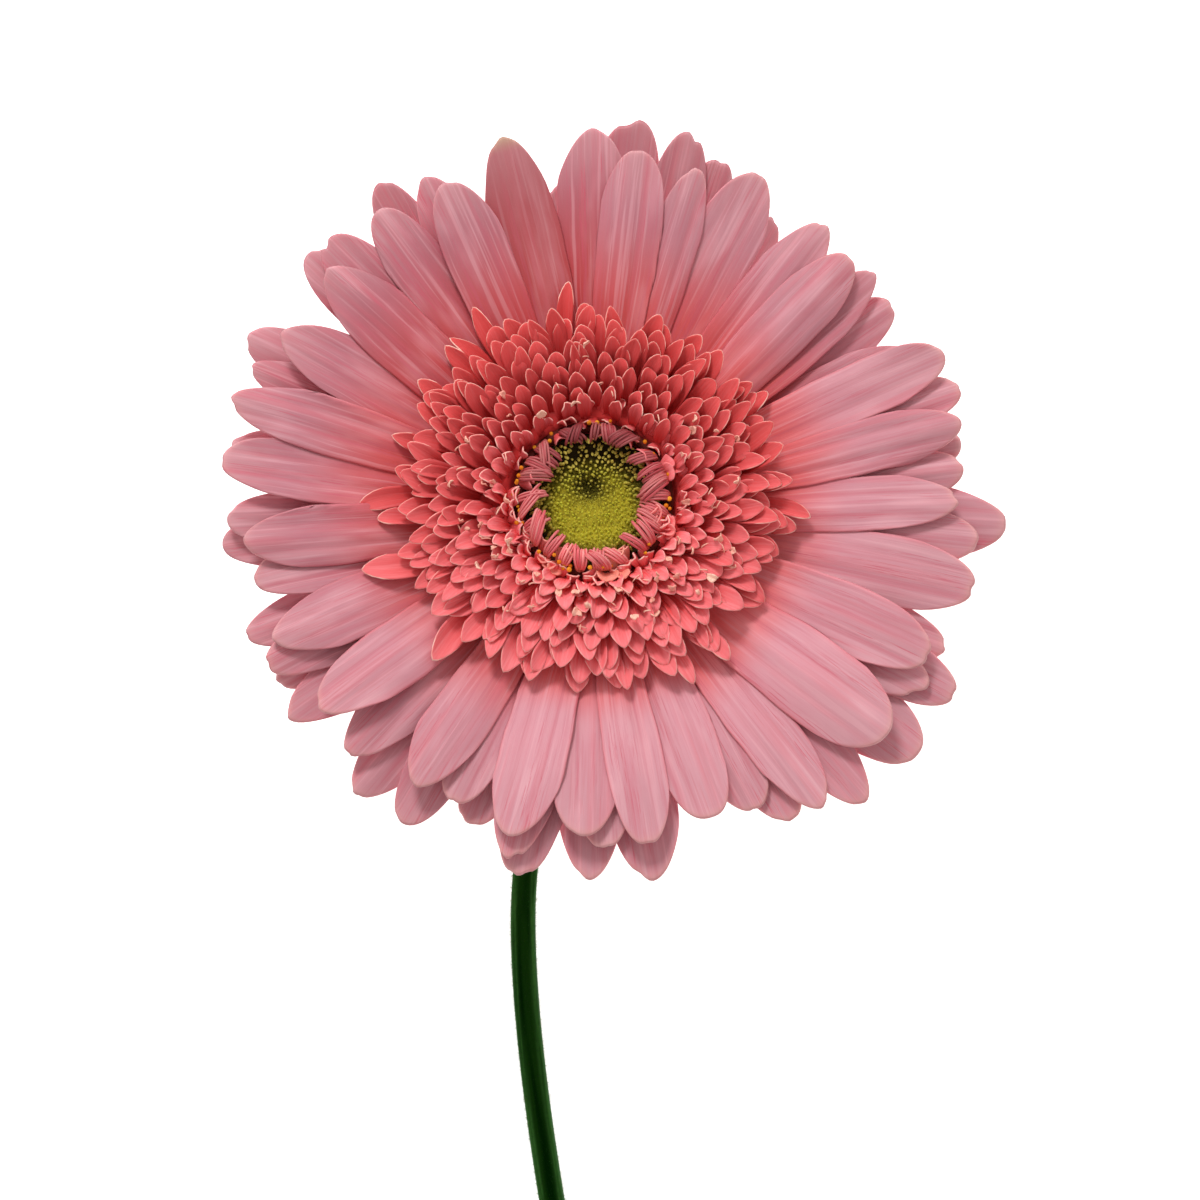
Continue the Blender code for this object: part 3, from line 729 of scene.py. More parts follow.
def tongue(root, angle, length, climb_angle, width, trait):
    """The middle surface of a small floret's tongue, which bends outwards as it rises and is hollow above.

    root is (radius, height). With the surface come the places along and across it, and nearness to the rim.
    """
    u, v = spaced(*FLORET_GRID)
    widest = trait["widest"]
    tip_shape = (1 - np.abs(v) ** trait["tip_a"]) ** trait["tip_b"] - trait["notch"] * hump(v, 0, 0.22)
    s = u * (widest + (1 - widest) * tip_shape)
    half = width / 2 * (0.42 + 0.58 * np.sin(math.pi / 2 * np.clip(s / widest, 0, 1)) ** 1.3)

    def climb_at(share):
        """It falls from climb_angle + bend at the root to climb_angle - bend at the tip, which also curls."""
        return climb_angle + trait["bend"] * (1 - 2 * share) + trait["curl"] * smooth(share, 0.72, 1.0)

    steps = np.linspace(0, 1, TONGUE_STEPS)
    climbs = climb_at(steps[:-1])
    gone = [np.append(0, np.cumsum(run(climbs))) / (TONGUE_STEPS - 1) for run in (np.cos, np.sin)]
    out, rise = (length * np.interp(s, steps, values)[..., None] for values in gone)
    direction = angle + trait["lean"] * s
    outward, across = heading(direction), heading(direction - math.pi / 2)
    tilt = climb_at(s)[..., None]
    normal = AXIS * np.cos(tilt) - outward * np.sin(tilt)
    across, normal = rolled(across, normal, trait["roll"])
    relief = half * trait["hollow"] * (v * v - 0.3) - 0.07 * hump(v, 0, 0.2) * smooth(s, 0.2, 0.5)
    relief = relief + trait["crinkle"] * np.sin(9 * s + 5 * v + 17 * trait["own"]) * smooth(s, 0.4, 1.0)
    centre = polar(root[0], angle, root[1]) + outward * out + AXIS * rise
    middle = centre + across * (half * v)[..., None] + normal * relief[..., None]
    rim = np.maximum(smooth(np.abs(v), 0.86, 1.0) * smooth(s, 0.6, 0.9), smooth(u, 0.965, 1.0))
    return middle, s, np.broadcast_to(v, s.shape), rim


def add_tongue(pile, root, angle, length, climb_angle, width, trait, thick, tone_and_shade, rim_share=1.0, slot=0):
    """A tongue as a closed sheet. Gives back the middle of its tip."""
    middle, s, v, rim = tongue(root, angle, length, climb_angle, width, trait)
    add_sheet(pile, middle, thick, s, v, rim * rim_share, tone_and_shade, trait["own"], slot)
    return middle[-1, middle.shape[1] // 2]


def floret_traits(draw, share):
    """How one small floret differs from the next. It is calmer the further out it grows, from 0 to 1."""
    return {
        "widest": draw.uniform(0.7, 0.82),
        "tip_a": draw.uniform(1.5, 1.9),
        "tip_b": draw.uniform(0.62, 0.85),
        "notch": draw.choice((0, 0, 0, 0.12)) * (1 - share),
        "bend": math.radians(draw.uniform(6, 20)) * (1 - 0.5 * share),
        "curl": math.radians(draw.uniform(-70, 25)) * (1 - 0.6 * share),
        "lean": math.radians(draw.uniform(-12, 12)),
        "roll": math.radians(draw.uniform(-22, 22)),
        "hollow": draw.uniform(0.3, 0.65),
        "crinkle": draw.uniform(0, 0.28) * (1 - share) ** 2,
        "own": draw.random(),
    }


def lower_side(angle):
    """From 0 at the top of the head to 1 at its bottom."""
    return 0.5 - 0.5 * math.sin(angle)


def angle_from(draw, ranges):
    """An angle from one of several ranges in degrees."""
    return math.radians(draw.choice([draw.uniform(*ends) for ends in ranges]))


def seated(radius):
    """The (radius, height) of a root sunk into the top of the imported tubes."""
    radii, heights = zip(*reversed(TUBES_TOP))
    return radius, float(np.interp(radius, radii, heights)) - SMALL_SUNK


def spiral_florets(pile, bits, draw):
    """The spiral of small florets, steeper and more crinkled further in, with bits at their mouths."""
    for i in range(SMALL_FLORETS):
        outward = (i + 0.5) / SMALL_FLORETS
        tip_radius = math.sqrt(mix([r * r for r in SMALL_TIPS], outward)) + draw.uniform(-0.7, 0.7)
        share = min(max((tip_radius - SMALL_TIPS[0]) / (SMALL_TIPS[1] - SMALL_TIPS[0]), 0), 1)
        length = mix(SMALL_LENGTH, share) * draw.uniform(0.9, 1.08)
        angle = i * GOLDEN_ANGLE + math.radians(draw.uniform(-3, 3))
        climb_angle = mix(SMALL_CLIMB, share**0.8) + math.radians(draw.uniform(-5, 5))
        climb_angle += SMALL_CLIMB_SIDE * math.sin(angle) * share**0.5
        root = seated(max(tip_radius - length * math.cos(climb_angle), SMALL_INNERMOST_ROOT))
        trait = floret_traits(draw, share)
        low = lower_side(angle)
        trait["tip_b"] += 0.2 * low * share
        width = mix(SMALL_WIDTH, share) * draw.uniform(0.85, 1.1) * (1 + 0.16 * low * share)
        # Painted shade: shade darkens the florets on the upper side of the head; pale is the inner florets' own
        # paler tone, shown more on the lower side as painted light.
        pale = smooth(1 - share, 0.55, 1.0) * draw.uniform(0.2, 1.0)
        shade = pale * (0.3 + 0.7 * low) - (1 - low) + draw.uniform(-0.1, 0.1)
        rim_share = 0.75 + 0.25 * pale
        tip = add_tongue(pile, root, angle, length, climb_angle, width, trait, FLORET_THICK, shade, rim_share)
        if share < 0.6 and draw.random() < 0.12 + 0.45 * low:
            crumpled_flake(bits, draw, tip)
        if share < 0.5 and draw.random() < 0.2 + 0.2 * low:
            curled_thread(bits, draw, tip + polar(draw.uniform(0, 0.9), draw.uniform(0, 6.3), 0.0))


def fringe(pile, draw):
    """Short crumpled florets round the inner edge, more of them on the lower side."""
    for _ in range(FRINGE):
        angle = draw.uniform(0, 2 * math.pi)
        low = lower_side(angle)
        if draw.random() > 0.4 + 0.6 * low:
            continue
        trait = floret_traits(draw, 0.0)
        trait["crinkle"] = draw.uniform(0.02, 0.08) + 0.06 * low
        trait["lean"] = math.radians(draw.uniform(-30, 30))
        trait["roll"] = math.radians(draw.uniform(-40, 40))
        root = seated(draw.uniform(*FRINGE_ROOT))
        length = draw.uniform(*FRINGE_LENGTH)
        climb_angle = angle_from(draw, FRINGE_LEANS)
        width = draw.uniform(*FRINGE_WIDTH)
        # Painted shade: darker on the upper side of the head, with its own random tone.
        shade = draw.uniform(0.3, 1.0) - 1.2 * (1 - low)
        add_tongue(pile, root, angle, length, climb_angle, width, trait, FLORET_THICK, shade)


def outstanding_florets(pile, draw):
    """The longer florets, each with its tip where the viewer sees it."""
    root = seated(STANDING_ROOT)
    for seen, reach, width in STANDING_OUT:
        radius, angle, height = tip_of(math.radians(seen), reach, STANDING_TIP, None)
        trait = floret_traits(draw, 1.0)
        ahead, rise = radius - root[0], height - root[1]
        length, climb_angle = math.hypot(ahead, rise), math.atan2(rise, ahead)
        # Painted shade: the longer florets are darker on the upper side of the head.
        shade = lower_side(angle) - 1
        add_tongue(pile, root, angle, length, climb_angle, width, trait, FLORET_THICK, shade)


def crumpled_flake(pile, draw, base):
    """A pale crumpled flake at the mouth of a floret."""
    trait = floret_traits(draw, 0.0)
    trait["crinkle"] = draw.uniform(0.1, 0.22)
    trait["roll"] = math.radians(draw.uniform(-60, 60))
    trait["curl"] = math.radians(draw.uniform(-140, 140))
    length = draw.uniform(1.1, 2.1)
    angle = math.atan2(base[1], base[0]) + draw.uniform(-0.1, 0.1)
    root = (math.hypot(base[0], base[1]) - draw.uniform(0.2, 0.8), base[2] - 0.5)
    climb_angle = math.radians(draw.uniform(20, 130))
    width = length * draw.uniform(0.6, 0.9)
    add_tongue(pile, root, angle, length, climb_angle, width, trait, FLAKE_THICK, draw.random())


def curled_thread(pile, draw, base):
    """A thin pale thread that curls over at the mouth of a floret."""
    level = heading(draw.uniform(0, 2 * math.pi))
    first = draw.uniform(-0.4, 0.4)
    turn = first + np.linspace(0, draw.choice((-1, 1)) * draw.uniform(2.0, 4.4), THREAD_POINTS)
    steps = (np.cos(turn)[:, None] * AXIS + np.sin(turn)[:, None] * level) * draw.uniform(0.12, 0.2)
    path = base - 0.6 * AXIS + np.cumsum(steps, axis=0)
    taper = np.interp(np.linspace(0, 1, THREAD_POINTS), [0, 0.8, 1], [1, 1, 0.4])
    size = draw.uniform(0.08, 0.12) * taper
    add_tube(pile, rings(path, size, size, 6, np.cross(level, AXIS)), draw.random(), draw.random())


def small_florets(look, cream):
    """The short tongues between disc and petals on their ring of packed tubes."""
    draw = random.Random(SEED + 2)
    pile = Pile()
    bits = Pile()
    # Painted shade: the hidden ring of tubes takes the florets' shaded colour.
    turned(pile, TUBES, RING_SIDES, -1.0, loop=True)
    spiral_florets(pile, bits, draw)
    fringe(pile, draw)
    outstanding_florets(pile, draw)
    pile.make("small_florets", "small_florets", [look])
    bits.make("small_floret_styles", "small_florets", [cream])


def smooth_path(corners, count):
    """A smooth curve through a few points."""
    corners = np.asarray(corners, float)
    ends = np.concatenate([[2 * corners[0] - corners[1]], corners, [2 * corners[-1] - corners[-2]]])
    made = []
    for t in np.linspace(0, len(corners) - 1 - 1e-9, count):
        k = int(t)
        f = t - k
        a, b, c, d = ends[k : k + 4]
        bend = (2 * a - 5 * b + 4 * c - d) * f**2 + (3 * b - a - 3 * c + d) * f**3
        made.append(0.5 * (2 * b + (c - a) * f + bend))
    return np.array(made)


def curled_bundle(pile, draw, i, line):
    """A bundle of curved strands that rises from the ring and arches in over the disc."""
    t = np.linspace(0, 1, len(line))
    angle = 2 * math.pi * (i + draw.uniform(-0.35, 0.35)) / CURLED_FLORETS
    swing = angle_from(draw, CURLED_SWINGS)
    inner = mix(CURLED_INNER, math.sin(angle) ** 2) + draw.uniform(-0.3, 0.5)
    foot = line[0, 0]
    reach = (foot - inner) / (foot - line[-1, 0])
    tall = draw.uniform(0.75, 1.1)
    outward, across = heading(angle), heading(angle + math.pi / 2)
    # Painted shade: darker on the upper side of the head; the rest is the bundle's own random tone.
    tone_and_shade = 0.7 * (1 - lower_side(angle)) + 0.3 * draw.random()
    taper = np.interp(t, [0, 0.15, 0.8, 1], [0.8, 1, 1.05, 0.6])
    strands = draw.choice(STRANDS)
    for k in range(strands):
        place = 2 * k / (strands - 1) - 1
        fan = 0.4 + 0.6 * smooth(t, 0, 0.45) - 0.2 * smooth(t, 0.6, 1.0)
        inward = (line[:, 0] - foot) * reach * draw.uniform(0.8, 1.08)
        lateral = STRAND_SPREAD * strands * place * fan - 0.8 * inward * math.tan(swing)
        lateral = lateral + draw.uniform(-0.35, 0.35) * t**2
        rise = line[:, 1] * tall * draw.uniform(0.92, 1.06) - 0.3 * place * place * np.sin(math.pi * t)
        path = outward * (foot + inward)[:, None] + across * lateral[:, None] + AXIS * rise[:, None]
        around = rings(path, draw.uniform(*STRAND_WIDE) * taper, STRAND_HIGH * taper, 8, across)
        add_tube(pile, around, tone_and_shade, draw.random())


def curled_lobes(pile, draw):
    """Short lobes among the feet of the strands, most of them on the lower side."""
    for _ in range(LOBES):
        angle = draw.uniform(0, 2 * math.pi)
        if math.sin(angle) > -0.2 and draw.random() < 0.6:
            continue
        trait = floret_traits(draw, 0.0)
        trait["crinkle"] = draw.uniform(0.02, 0.07)
        trait["roll"] = math.radians(draw.uniform(-35, 35))
        root = (draw.uniform(*LOBE_ROOT), LOBE_FOOT)
        length = draw.uniform(*LOBE_LENGTH)
        climb_angle = angle_from(draw, LOBE_LEANS)
        width = draw.uniform(*LOBE_WIDTH)
        # Painted shade: lobes on the upper side of the head are darker; those low down turn peach.
        shade = 0.5 - 0.9 * math.sin(angle)
        add_tongue(pile, root, angle, length, climb_angle, width, trait, LOBE_THICK, shade, 0.6, 1)


def pollen_grains(draw, look):
    """Orange grains at the feet of the strands."""
    pile = Pile()
    for _ in range(POLLEN_GRAINS):
        angle = draw.uniform(0, 2 * math.pi)
        base = polar(draw.uniform(*POLLEN_PLACE), angle, draw.uniform(*POLLEN_HEIGHT))
        length, radius = draw.uniform(*POLLEN_LENGTH), draw.uniform(*POLLEN_RADIUS)
        add_ovoid(pile, base, AXIS, length, radius, draw.random(), draw.random())
    pile.make("pollen_grains", "curled_florets", [look])


def curled_florets(look, grain, lobe):
    """The ring of curled florets round the disc, with lobes and pollen at their feet."""
    draw = random.Random(SEED + 3)
    pile = Pile()
    # Painted shade: the ring at the strands' feet is painted near black.
    turned(pile, CURLED_FOOT, RING_SIDES, -2.0, slot=1, loop=True)
    line = smooth_path(CURLED_PATH, CURLED_POINTS)
    for i in range(CURLED_FLORETS):
        curled_bundle(pile, draw, i, line)
    curled_lobes(pile, draw)
    pile.make("curled_florets", "curled_florets", [look, lobe])
    pollen_grains(draw, grain)


def pit_share(points, spread=1.0):
    """From 0 far from the pit in the disc to 1 in its middle."""
    across = (points[..., 0] - PIT[0]) / (spread * PIT[2])
    up = (points[..., 1] - PIT[1]) / (spread * PIT[3])
    return np.exp(-(across**2) - up**2)


def dish(points):
    """Height of the disc at points in the head's plane: a bowl with a small pit above its middle."""
    share = np.minimum(np.linalg.norm(points[..., :2], axis=-1) / DISC_RADIUS, 1)
    return DISC_RIM - DISC_DIP * (1 - share**2) - PIT_DEPTH * pit_share(points)


def clumps(points):
    """From 0 to 1 over the disc in soft patches about 1 mm across."""
    x, y = points[..., 0], points[..., 1]
    waves = np.sin(3.1 * x + 1.7 * y + 2 * np.sin(1.3 * y)) + np.sin(2.3 * y - 2.9 * x + 2 * np.sin(1.9 * x))
    return 0.5 + 0.25 * waves


def looseness(points):
    """From 0 where the disc is close to 1 where its buds stand apart: at its edge, and further in above."""
    radius = np.linalg.norm(points[..., :2], axis=-1)
    above = np.divide(points[..., 1], radius, out=np.zeros_like(radius), where=radius > 0)
    return smooth(radius / DISC_RADIUS + 0.15 * above * np.minimum(radius / 4, 1), 0.58, 1.0)


def disc_ground(look):
    """The bowl under the buds, bumpy and filled up where the disc is close, and darker where it is loose and
    round the pit: partly its own dark ground and partly painted shade on the upper side and in the pit.
    """
    angle = np.linspace(0, 2 * math.pi, GROUND_SIDES, endpoint=False)
    feet = ((DISC_RADIUS, DISC_FOOT), (DISC_RADIUS, -0.4), (GROUND_RADIUS, -0.35))
    rows = [polar(radius, -angle, height) for radius, height in feet]
    for radius in np.linspace(GROUND_RADIUS, 0.05, GROUND_RINGS):
        row = polar(radius, -angle, 0.0)
        waves = np.cos(34 * angle + 3.1 * radius) * np.cos(21 * angle - 3.1 * radius)
        filled = (1 - looseness(row)) * (1 - pit_share(row, 1.6))
        row[..., 2] = dish(row) - 0.25 + 0.72 * filled + 0.12 * waves * min(1, radius / 3)
        rows.append(row)
    around = np.array(rows)[::-1]
    pile = Pile()
    # Painted shade, partly the dark ground's own colour: darker where the disc is loose, most on the upper
    # side, and round the pit.
    add_tube(pile, around, np.clip(looseness(around) + 0.7 * pit_share(around), 0, 1), 0.5)
    pile.make("disc_ground", "disc_florets", [look])


def disc_buds(look):
    """Unopened buds in a spiral, lower in the middle, fewer and leaning inwards where the disc is loose."""
    draw = random.Random(SEED + 4)
    pile = Pile()
    for i in range(DISC_BUDS):
        radius = GROUND_RADIUS * math.sqrt((i + 0.5) / DISC_BUDS) * 0.98
        angle = i * GOLDEN_ANGLE
        base = polar(radius, angle, 0.0)
        ripe = float(looseness(base))
        if draw.random() < 0.3 * ripe or draw.random() < 0.8 * float(pit_share(base)):
            continue
        size = mix((0.2, 0.25), ripe) * draw.uniform(0.75, 1.2)
        tall = mix((0.9 + 0.5 * min(radius / 4, 1), 1.5), ripe) * draw.uniform(0.8, 1.2)
        lean = np.array([draw.uniform(-0.25, 0.25), draw.uniform(-0.25, 0.25), 1.0])
        lean = lean - (0.2 + ripe * draw.uniform(0.0, 0.9)) * heading(angle)
        base[2] = float(dish(base)) - 0.35
        # shaded is the bud's ripeness, with painted shade in and round the pit.
        shaded = max(ripe, 0.9 * float(pit_share(base, 2.0)))
        add_ovoid(pile, base, unit(lean), tall, size, shaded, draw.random(), fat_end=0.6)
    pile.make("disc_buds", "disc_florets", [look])


def disc_fuzz(look):
    """Fine hairs over the close part of the disc, with painted shade in clumps towards the top, in and round
    the pit, and where the disc is loose.
    """
    made = np.random.default_rng(SEED)
    radius = DISC_RADIUS * np.sqrt(made.random(DISC_HAIRS)) * 0.97
    bases = polar(radius, made.random(DISC_HAIRS) * 2 * math.pi, 0.0)
    keep = made.random(DISC_HAIRS) > np.maximum(1.1 * looseness(bases), 0.75 * pit_share(bases))
    bases = bases[keep]
    bases[:, 2] = dish(bases) - 0.1
    long = 0.75 + 0.55 * made.random(len(bases))
    tips = bases + unit(made.normal(0, 0.6, (len(bases), 3)) * [1, 1, 0] + AXIS) * long[:, None]
    # Painted shade: darker where the disc is loose, round the pit, and in clumps towards the top.
    shaded = 0.8 * looseness(bases) + 1.1 * pit_share(bases, 2.2)
    shaded = shaded + 0.35 * clumps(bases) * smooth(bases[:, 1], -5, 3)
    pile = Pile()
    add_cones(pile, bases, tips, DISC_HAIR_RADIUS, np.clip(shaded, 0, 1), made.random(len(bases)))
    pile.make("disc_fuzz", "disc_florets", [look])


def bract(pile, draw, angle, root, tip):
    """One narrow ribbed leaf of the cup, from its root to its tip, both (radius, height)."""
    u, x = spaced(*BRACT_GRID)
    s = u * (0.45 + 0.55 * (1 - np.abs(x) ** 1.4) ** 0.9)
    half = BRACT_HALF * (0.75 + 0.25 * np.sin(math.pi * np.clip(s / 0.9, 0, 1)))
    radius = mix((root[0], tip[0]), s) + 1.3 * np.sin(math.pi * s)
    centre = polar(radius, angle, mix((root[1], tip[1]), s))
    outward, across = heading(angle), heading(angle + math.pi / 2)
    bulge = 0.35 * (1 - x * x) + 0.1 * hump(x, 0, 0.2)
    middle = centre + across * (half * x)[..., None] + outward * bulge[..., None]
    rim = np.maximum(smooth(np.abs(x), 0.75, 1.0), smooth(u, 0.9, 1.0))
    across = np.broadcast_to(x, s.shape)
    add_sheet(pile, middle[:, ::-1], BRACT_THICK, s, across, rim, draw.random(), draw.random())


def involucre(look):
    """The green cup under the head with its rows of narrow bracts."""
    draw = random.Random(SEED + 5)
    pile = Pile()
    flank = [tuple(point) for point in smooth_path(CUP_FLANK, 24)]
    turned(pile, [CUP_FOOT] + flank + CUP_TOP, RING_SIDES, 0.6)
    radii, heights = zip(*CUP_FLANK)
    for row, (count, root_height, tip_radius, tip_height) in enumerate(BRACT_ROWS):
        root_radius = float(np.interp(root_height, heights, radii)) - BRACT_SUNK
        for i in range(count):
            angle = 2 * math.pi * (i + 0.5 * row) / count + draw.uniform(-0.03, 0.03)
            bract(pile, draw, angle, (root_radius, root_height), (tip_radius, tip_height))
    pile.make("involucre", "involucre", [look])


def bezier(a, b, c, d, t):
    """The point at t on a curve from a to d that sets off towards b and comes in from c."""
    s = 1 - t
    return s**3 * a + 3 * s * s * t * b + 3 * s * t * t * c + t**3 * d


def stem_line():
    """Points of the stem's middle in metres from the cut end up into the cup, and its radii."""
    flat_side = math.cos(math.pi / SOLID_STEM_SIDES)
    total = sum(STEM_STEPS)
    curves = (
        (CUT_END, CUT_END + CUT_HANDLE, BULGE + BULGE_TO_END, BULGE),
        (BULGE, BULGE + BULGE_HANDLE, BEND + BEND_HANDLE, BEND),
    )
    line, radii = [], []
    done = 0
    for steps, corners in zip(STEM_STEPS, curves):
        for t in np.linspace(0, 1, steps * STEM_FINE, endpoint=False):
            radii.append(MM * mix(STEM_RADII, (done + t * steps) / total))
            line.append([*(HEAD[:2] + MM * bezier(*corners, t)), radii[-1] * flat_side])
        done += steps
    start = np.append(HEAD[:2] + MM * BEND, MM * mix(STEM_RADII, done / total) * flat_side)
    leaving = start + MM * NECK_HANDLE * unit(np.append(-BEND_HANDLE, 0.0))
    top = to_world(np.array([0, 0, NECK_TOP + NECK_INTO_CUP]))
    for t in np.linspace(0, 1, STEM_STEPS[-1] * STEM_FINE):
        line.append(bezier(start, leaving, top - MM * NECK_HANDLE * FACE, top, t))
        radii.append(MM * mix(STEM_RADII, (done + t * STEM_STEPS[-1]) / total))
    return np.array(line), np.array(radii)


def stem_cut(edge, ahead, look):
    """The uneven pith inside the edge of the slanting cut."""
    centre = edge.mean(0)
    around = [centre + (edge - centre) * share - ahead * MM * out for share, out in CUT_FACE]
    pile = Pile()
    add_tube(pile, np.array(around)[::-1], 0.5, 0.5)
    pile.make("stem_cut", "stem", [look], in_world=True)


def stem_hairs(line, radii, side, above, look):
    """Short hairs all over the stem but where they would reach into the surface."""
    made = np.random.default_rng(SEED + 1)
    lengths = np.append(0, np.cumsum(np.linalg.norm(np.diff(line, axis=0), axis=1)))
    at = made.random(STEM_HAIRS) * lengths[-1] * 0.985
    angle = made.random(STEM_HAIRS)[:, None] * 2 * math.pi

    def there(values):
        return np.stack([np.interp(at, lengths, values[:, k]) for k in range(3)], -1)

    side, above = unit(there(side)), unit(there(above))
    out = np.cos(angle) * side + np.sin(angle) * above
    bases = there(line) + out * (0.95 * np.interp(at, lengths, radii))[:, None]
    long = MM * (0.25 + 0.5 * made.random(STEM_HAIRS) ** 1.5)
    onward = 0.5 * made.normal(0, 0.6, (STEM_HAIRS, 1)) * np.cross(above, side)
    lean = unit(out + onward + 0.3 * made.normal(0, 0.6, (STEM_HAIRS, 3)))
    tips = bases + lean * long[:, None]
    keep = np.minimum(tips[:, 2], bases[:, 2]) > 0.1 * MM
    # Painted shade: hairs on the top of the stem are darker.
    shaded_on_top = smooth(np.sin(angle[keep, 0]), 0.2, 0.75)
    pile = Pile()
    add_cones(pile, bases[keep], tips[keep], STEM_HAIR_RADIUS * MM, shaded_on_top, made.random(keep.sum()))
    pile.make("stem_hairs", "stem", [look], in_world=True)


def stem(look, pith, hair):
    """The ribbed stem with its slanting cut, the face of the cut, and the hairs."""
    line, radii = stem_line()
    turn = np.linspace(0, 2 * math.pi, STEM_SIDES, endpoint=False)
    ahead = unit(np.gradient(line, axis=0))
    side = unit(np.cross(ahead, AXIS))
    above = np.cross(side, ahead)
    size = radii[:, None] * (1 + RIB_SHARE * np.cos(RIBS * turn) - RIB_SHARE)
    sway, rise = size * np.cos(turn), size * np.sin(turn)
    around = line[:, None] + sway[..., None] * side[:, None] + rise[..., None] * above[:, None]
    around[0] += (CUT_SLANT * rise[0])[:, None] * ahead[0]
    around[..., 2] = np.maximum(around[..., 2], 0.02 * MM)
    pile = Pile()
    add_tube(pile, around, 0.5, 0.5)
    pile.make("stem", "stem", [look], in_world=True)
    stem_cut(around[0], ahead[0], pith)
    stem_hairs(line, radii, side, above, hair)


def ink(red, green, blue):
    """A colour as it looks on screen, from 0 to 255, turned into the light it stands for."""
    made = []
    for value in (red, green, blue):
        share = value / 255
        made.append(share / 12.92 if share <= 0.04045 else ((share + 0.055) / 1.055) ** 2.4)
    return (*made, 1.0)


class Paint:
    """One material: each call adds a node and gives back its output."""

    def __init__(self, name, **values):
        self.material = bpy.data.materials.new(name)
        self.material.use_nodes = True
        self.tree = self.material.node_tree
        self.shader = self.tree.nodes["Principled BSDF"]
        for socket, value in values.items():
            self.shader.inputs[socket.replace("_", " ")].default_value = value

    def add(self, kind, output=0, inputs=None, **settings):
        """A node whose inputs are other nodes' outputs or plain values."""
        made = self.tree.nodes.new(kind)
        for key, value in settings.items():
            setattr(made, key, value)
        for key, value in (inputs or {}).items():
            if isinstance(value, bpy.types.NodeSocket):
                self.tree.links.new(value, made.inputs[key])
            else:
                made.inputs[key].default_value = value
        return made.outputs[output]

    def read(self, *names):
        """These values of the mesh's points."""
        found = []
        for name in names:
            attribute, place = STORED[name]
            vector = self.add("ShaderNodeAttribute", "Vector", attribute_name=attribute)
            found.append(self.add("ShaderNodeSeparateXYZ", place, {0: vector}))
        return found

    def maths(self, operation, a, b=0.0, c=0.0):
        return self.add("ShaderNodeMath", 0, {0: a, 1: b, 2: c}, operation=operation)

    def times(self, a, b):
        return self.maths("MULTIPLY", a, b)

    def vector(self, x, y, z):
        return self.add("ShaderNodeCombineXYZ", 0, {0: x, 1: y, 2: z})

    def noise(self, vector, scale, detail=2.0, roughness=0.5):
        settings = {"Vector": vector, "Scale": scale, "Detail": detail, "Roughness": roughness}
        return self.add("ShaderNodeTexNoise", 0, settings)

    def grain(self, across, along, shift, scale=1.0, detail=2.0, roughness=0.5):
        """Noise over a piece. across and along are (value, how many times finer it runs that way)."""
        place = self.vector(self.times(*across), self.times(*along), shift)
        return self.noise(place, scale, detail, roughness)

    def remap(self, value, low, high, to_low=0.0, to_high=1.0):
        """From to_low where the value is low to to_high where it is high, softly."""
        ends = {0: value, 1: low, 2: high, 3: to_low, 4: to_high}
        return self.add("ShaderNodeMapRange", 0, ends, interpolation_type="SMOOTHSTEP")

    def blend(self, share, a, b, mode="MIX"):
        return self.add("ShaderNodeMix", 2, {0: share, 6: a, 7: b}, data_type="RGBA", blend_type=mode)

    def tinted(self, base, tint, value, low, high, most=1.0):
        """The base with a tint laid over it, from none where the value is low to most where it is high."""
        return self.blend(self.remap(value, low, high, 0.0, most), base, tint)

    def colour(self, value):
        self.tree.links.new(value, self.shader.inputs["Base Color"])

    def rough(self, value):
        self.tree.links.new(value, self.shader.inputs["Roughness"])

    def bump(self, height, distance, strength):
        made = self.add("ShaderNodeBump", 0, {"Height": height, "Distance": distance, "Strength": strength})
        self.tree.links.new(made, self.shader.inputs["Normal"])

    def soft(self, weight, radius, scale):
        """Light that runs under the surface before it comes out again."""
        for socket, value in (("Weight", weight), ("Radius", radius), ("Scale", scale)):
            self.shader.inputs["Subsurface " + socket].default_value = value


def petal_body(paint, along, tone_and_shade):
    """A petal's colour over its length: a coral root, then pink, both deepened by painted shade where the petal
    is shaded, and a tip lightened as painted light on the shaded petals. The coral runs out to where the small
    florets' shadow falls, and further on shaded petals, so it is partly painted shade.
    """
    light = paint.tinted(PETAL_LIGHT, PETAL_LIGHT_TIP, along, 0.5, 0.95)
    # Painted shade: pink and coral turn to their shaded ends as tone_and_shade grows.
    pink = paint.blend(tone_and_shade, light, PETAL_DEEP_SHADED)
    coral = paint.blend(tone_and_shade, PETAL_ROOT_LIGHT, PETAL_ROOT_DEEP_SHADED)
    # Painted shade: the coral reaches further out on shaded petals.
    coral_from = paint.maths("MULTIPLY_ADD", tone_and_shade, 0.05, 0.36)
    coral_to = paint.maths("MULTIPLY_ADD", tone_and_shade, 0.45, 0.5)
    base = paint.tinted(coral, pink, along, coral_from, coral_to)
    # Painted light: shaded petals are lightened towards the tip.
    return paint.blend(paint.times(tone_and_shade, paint.remap(along, 0.75, 1.0, 0.0, 0.5)), base, PETAL_PAINTED_LIT_TIP)


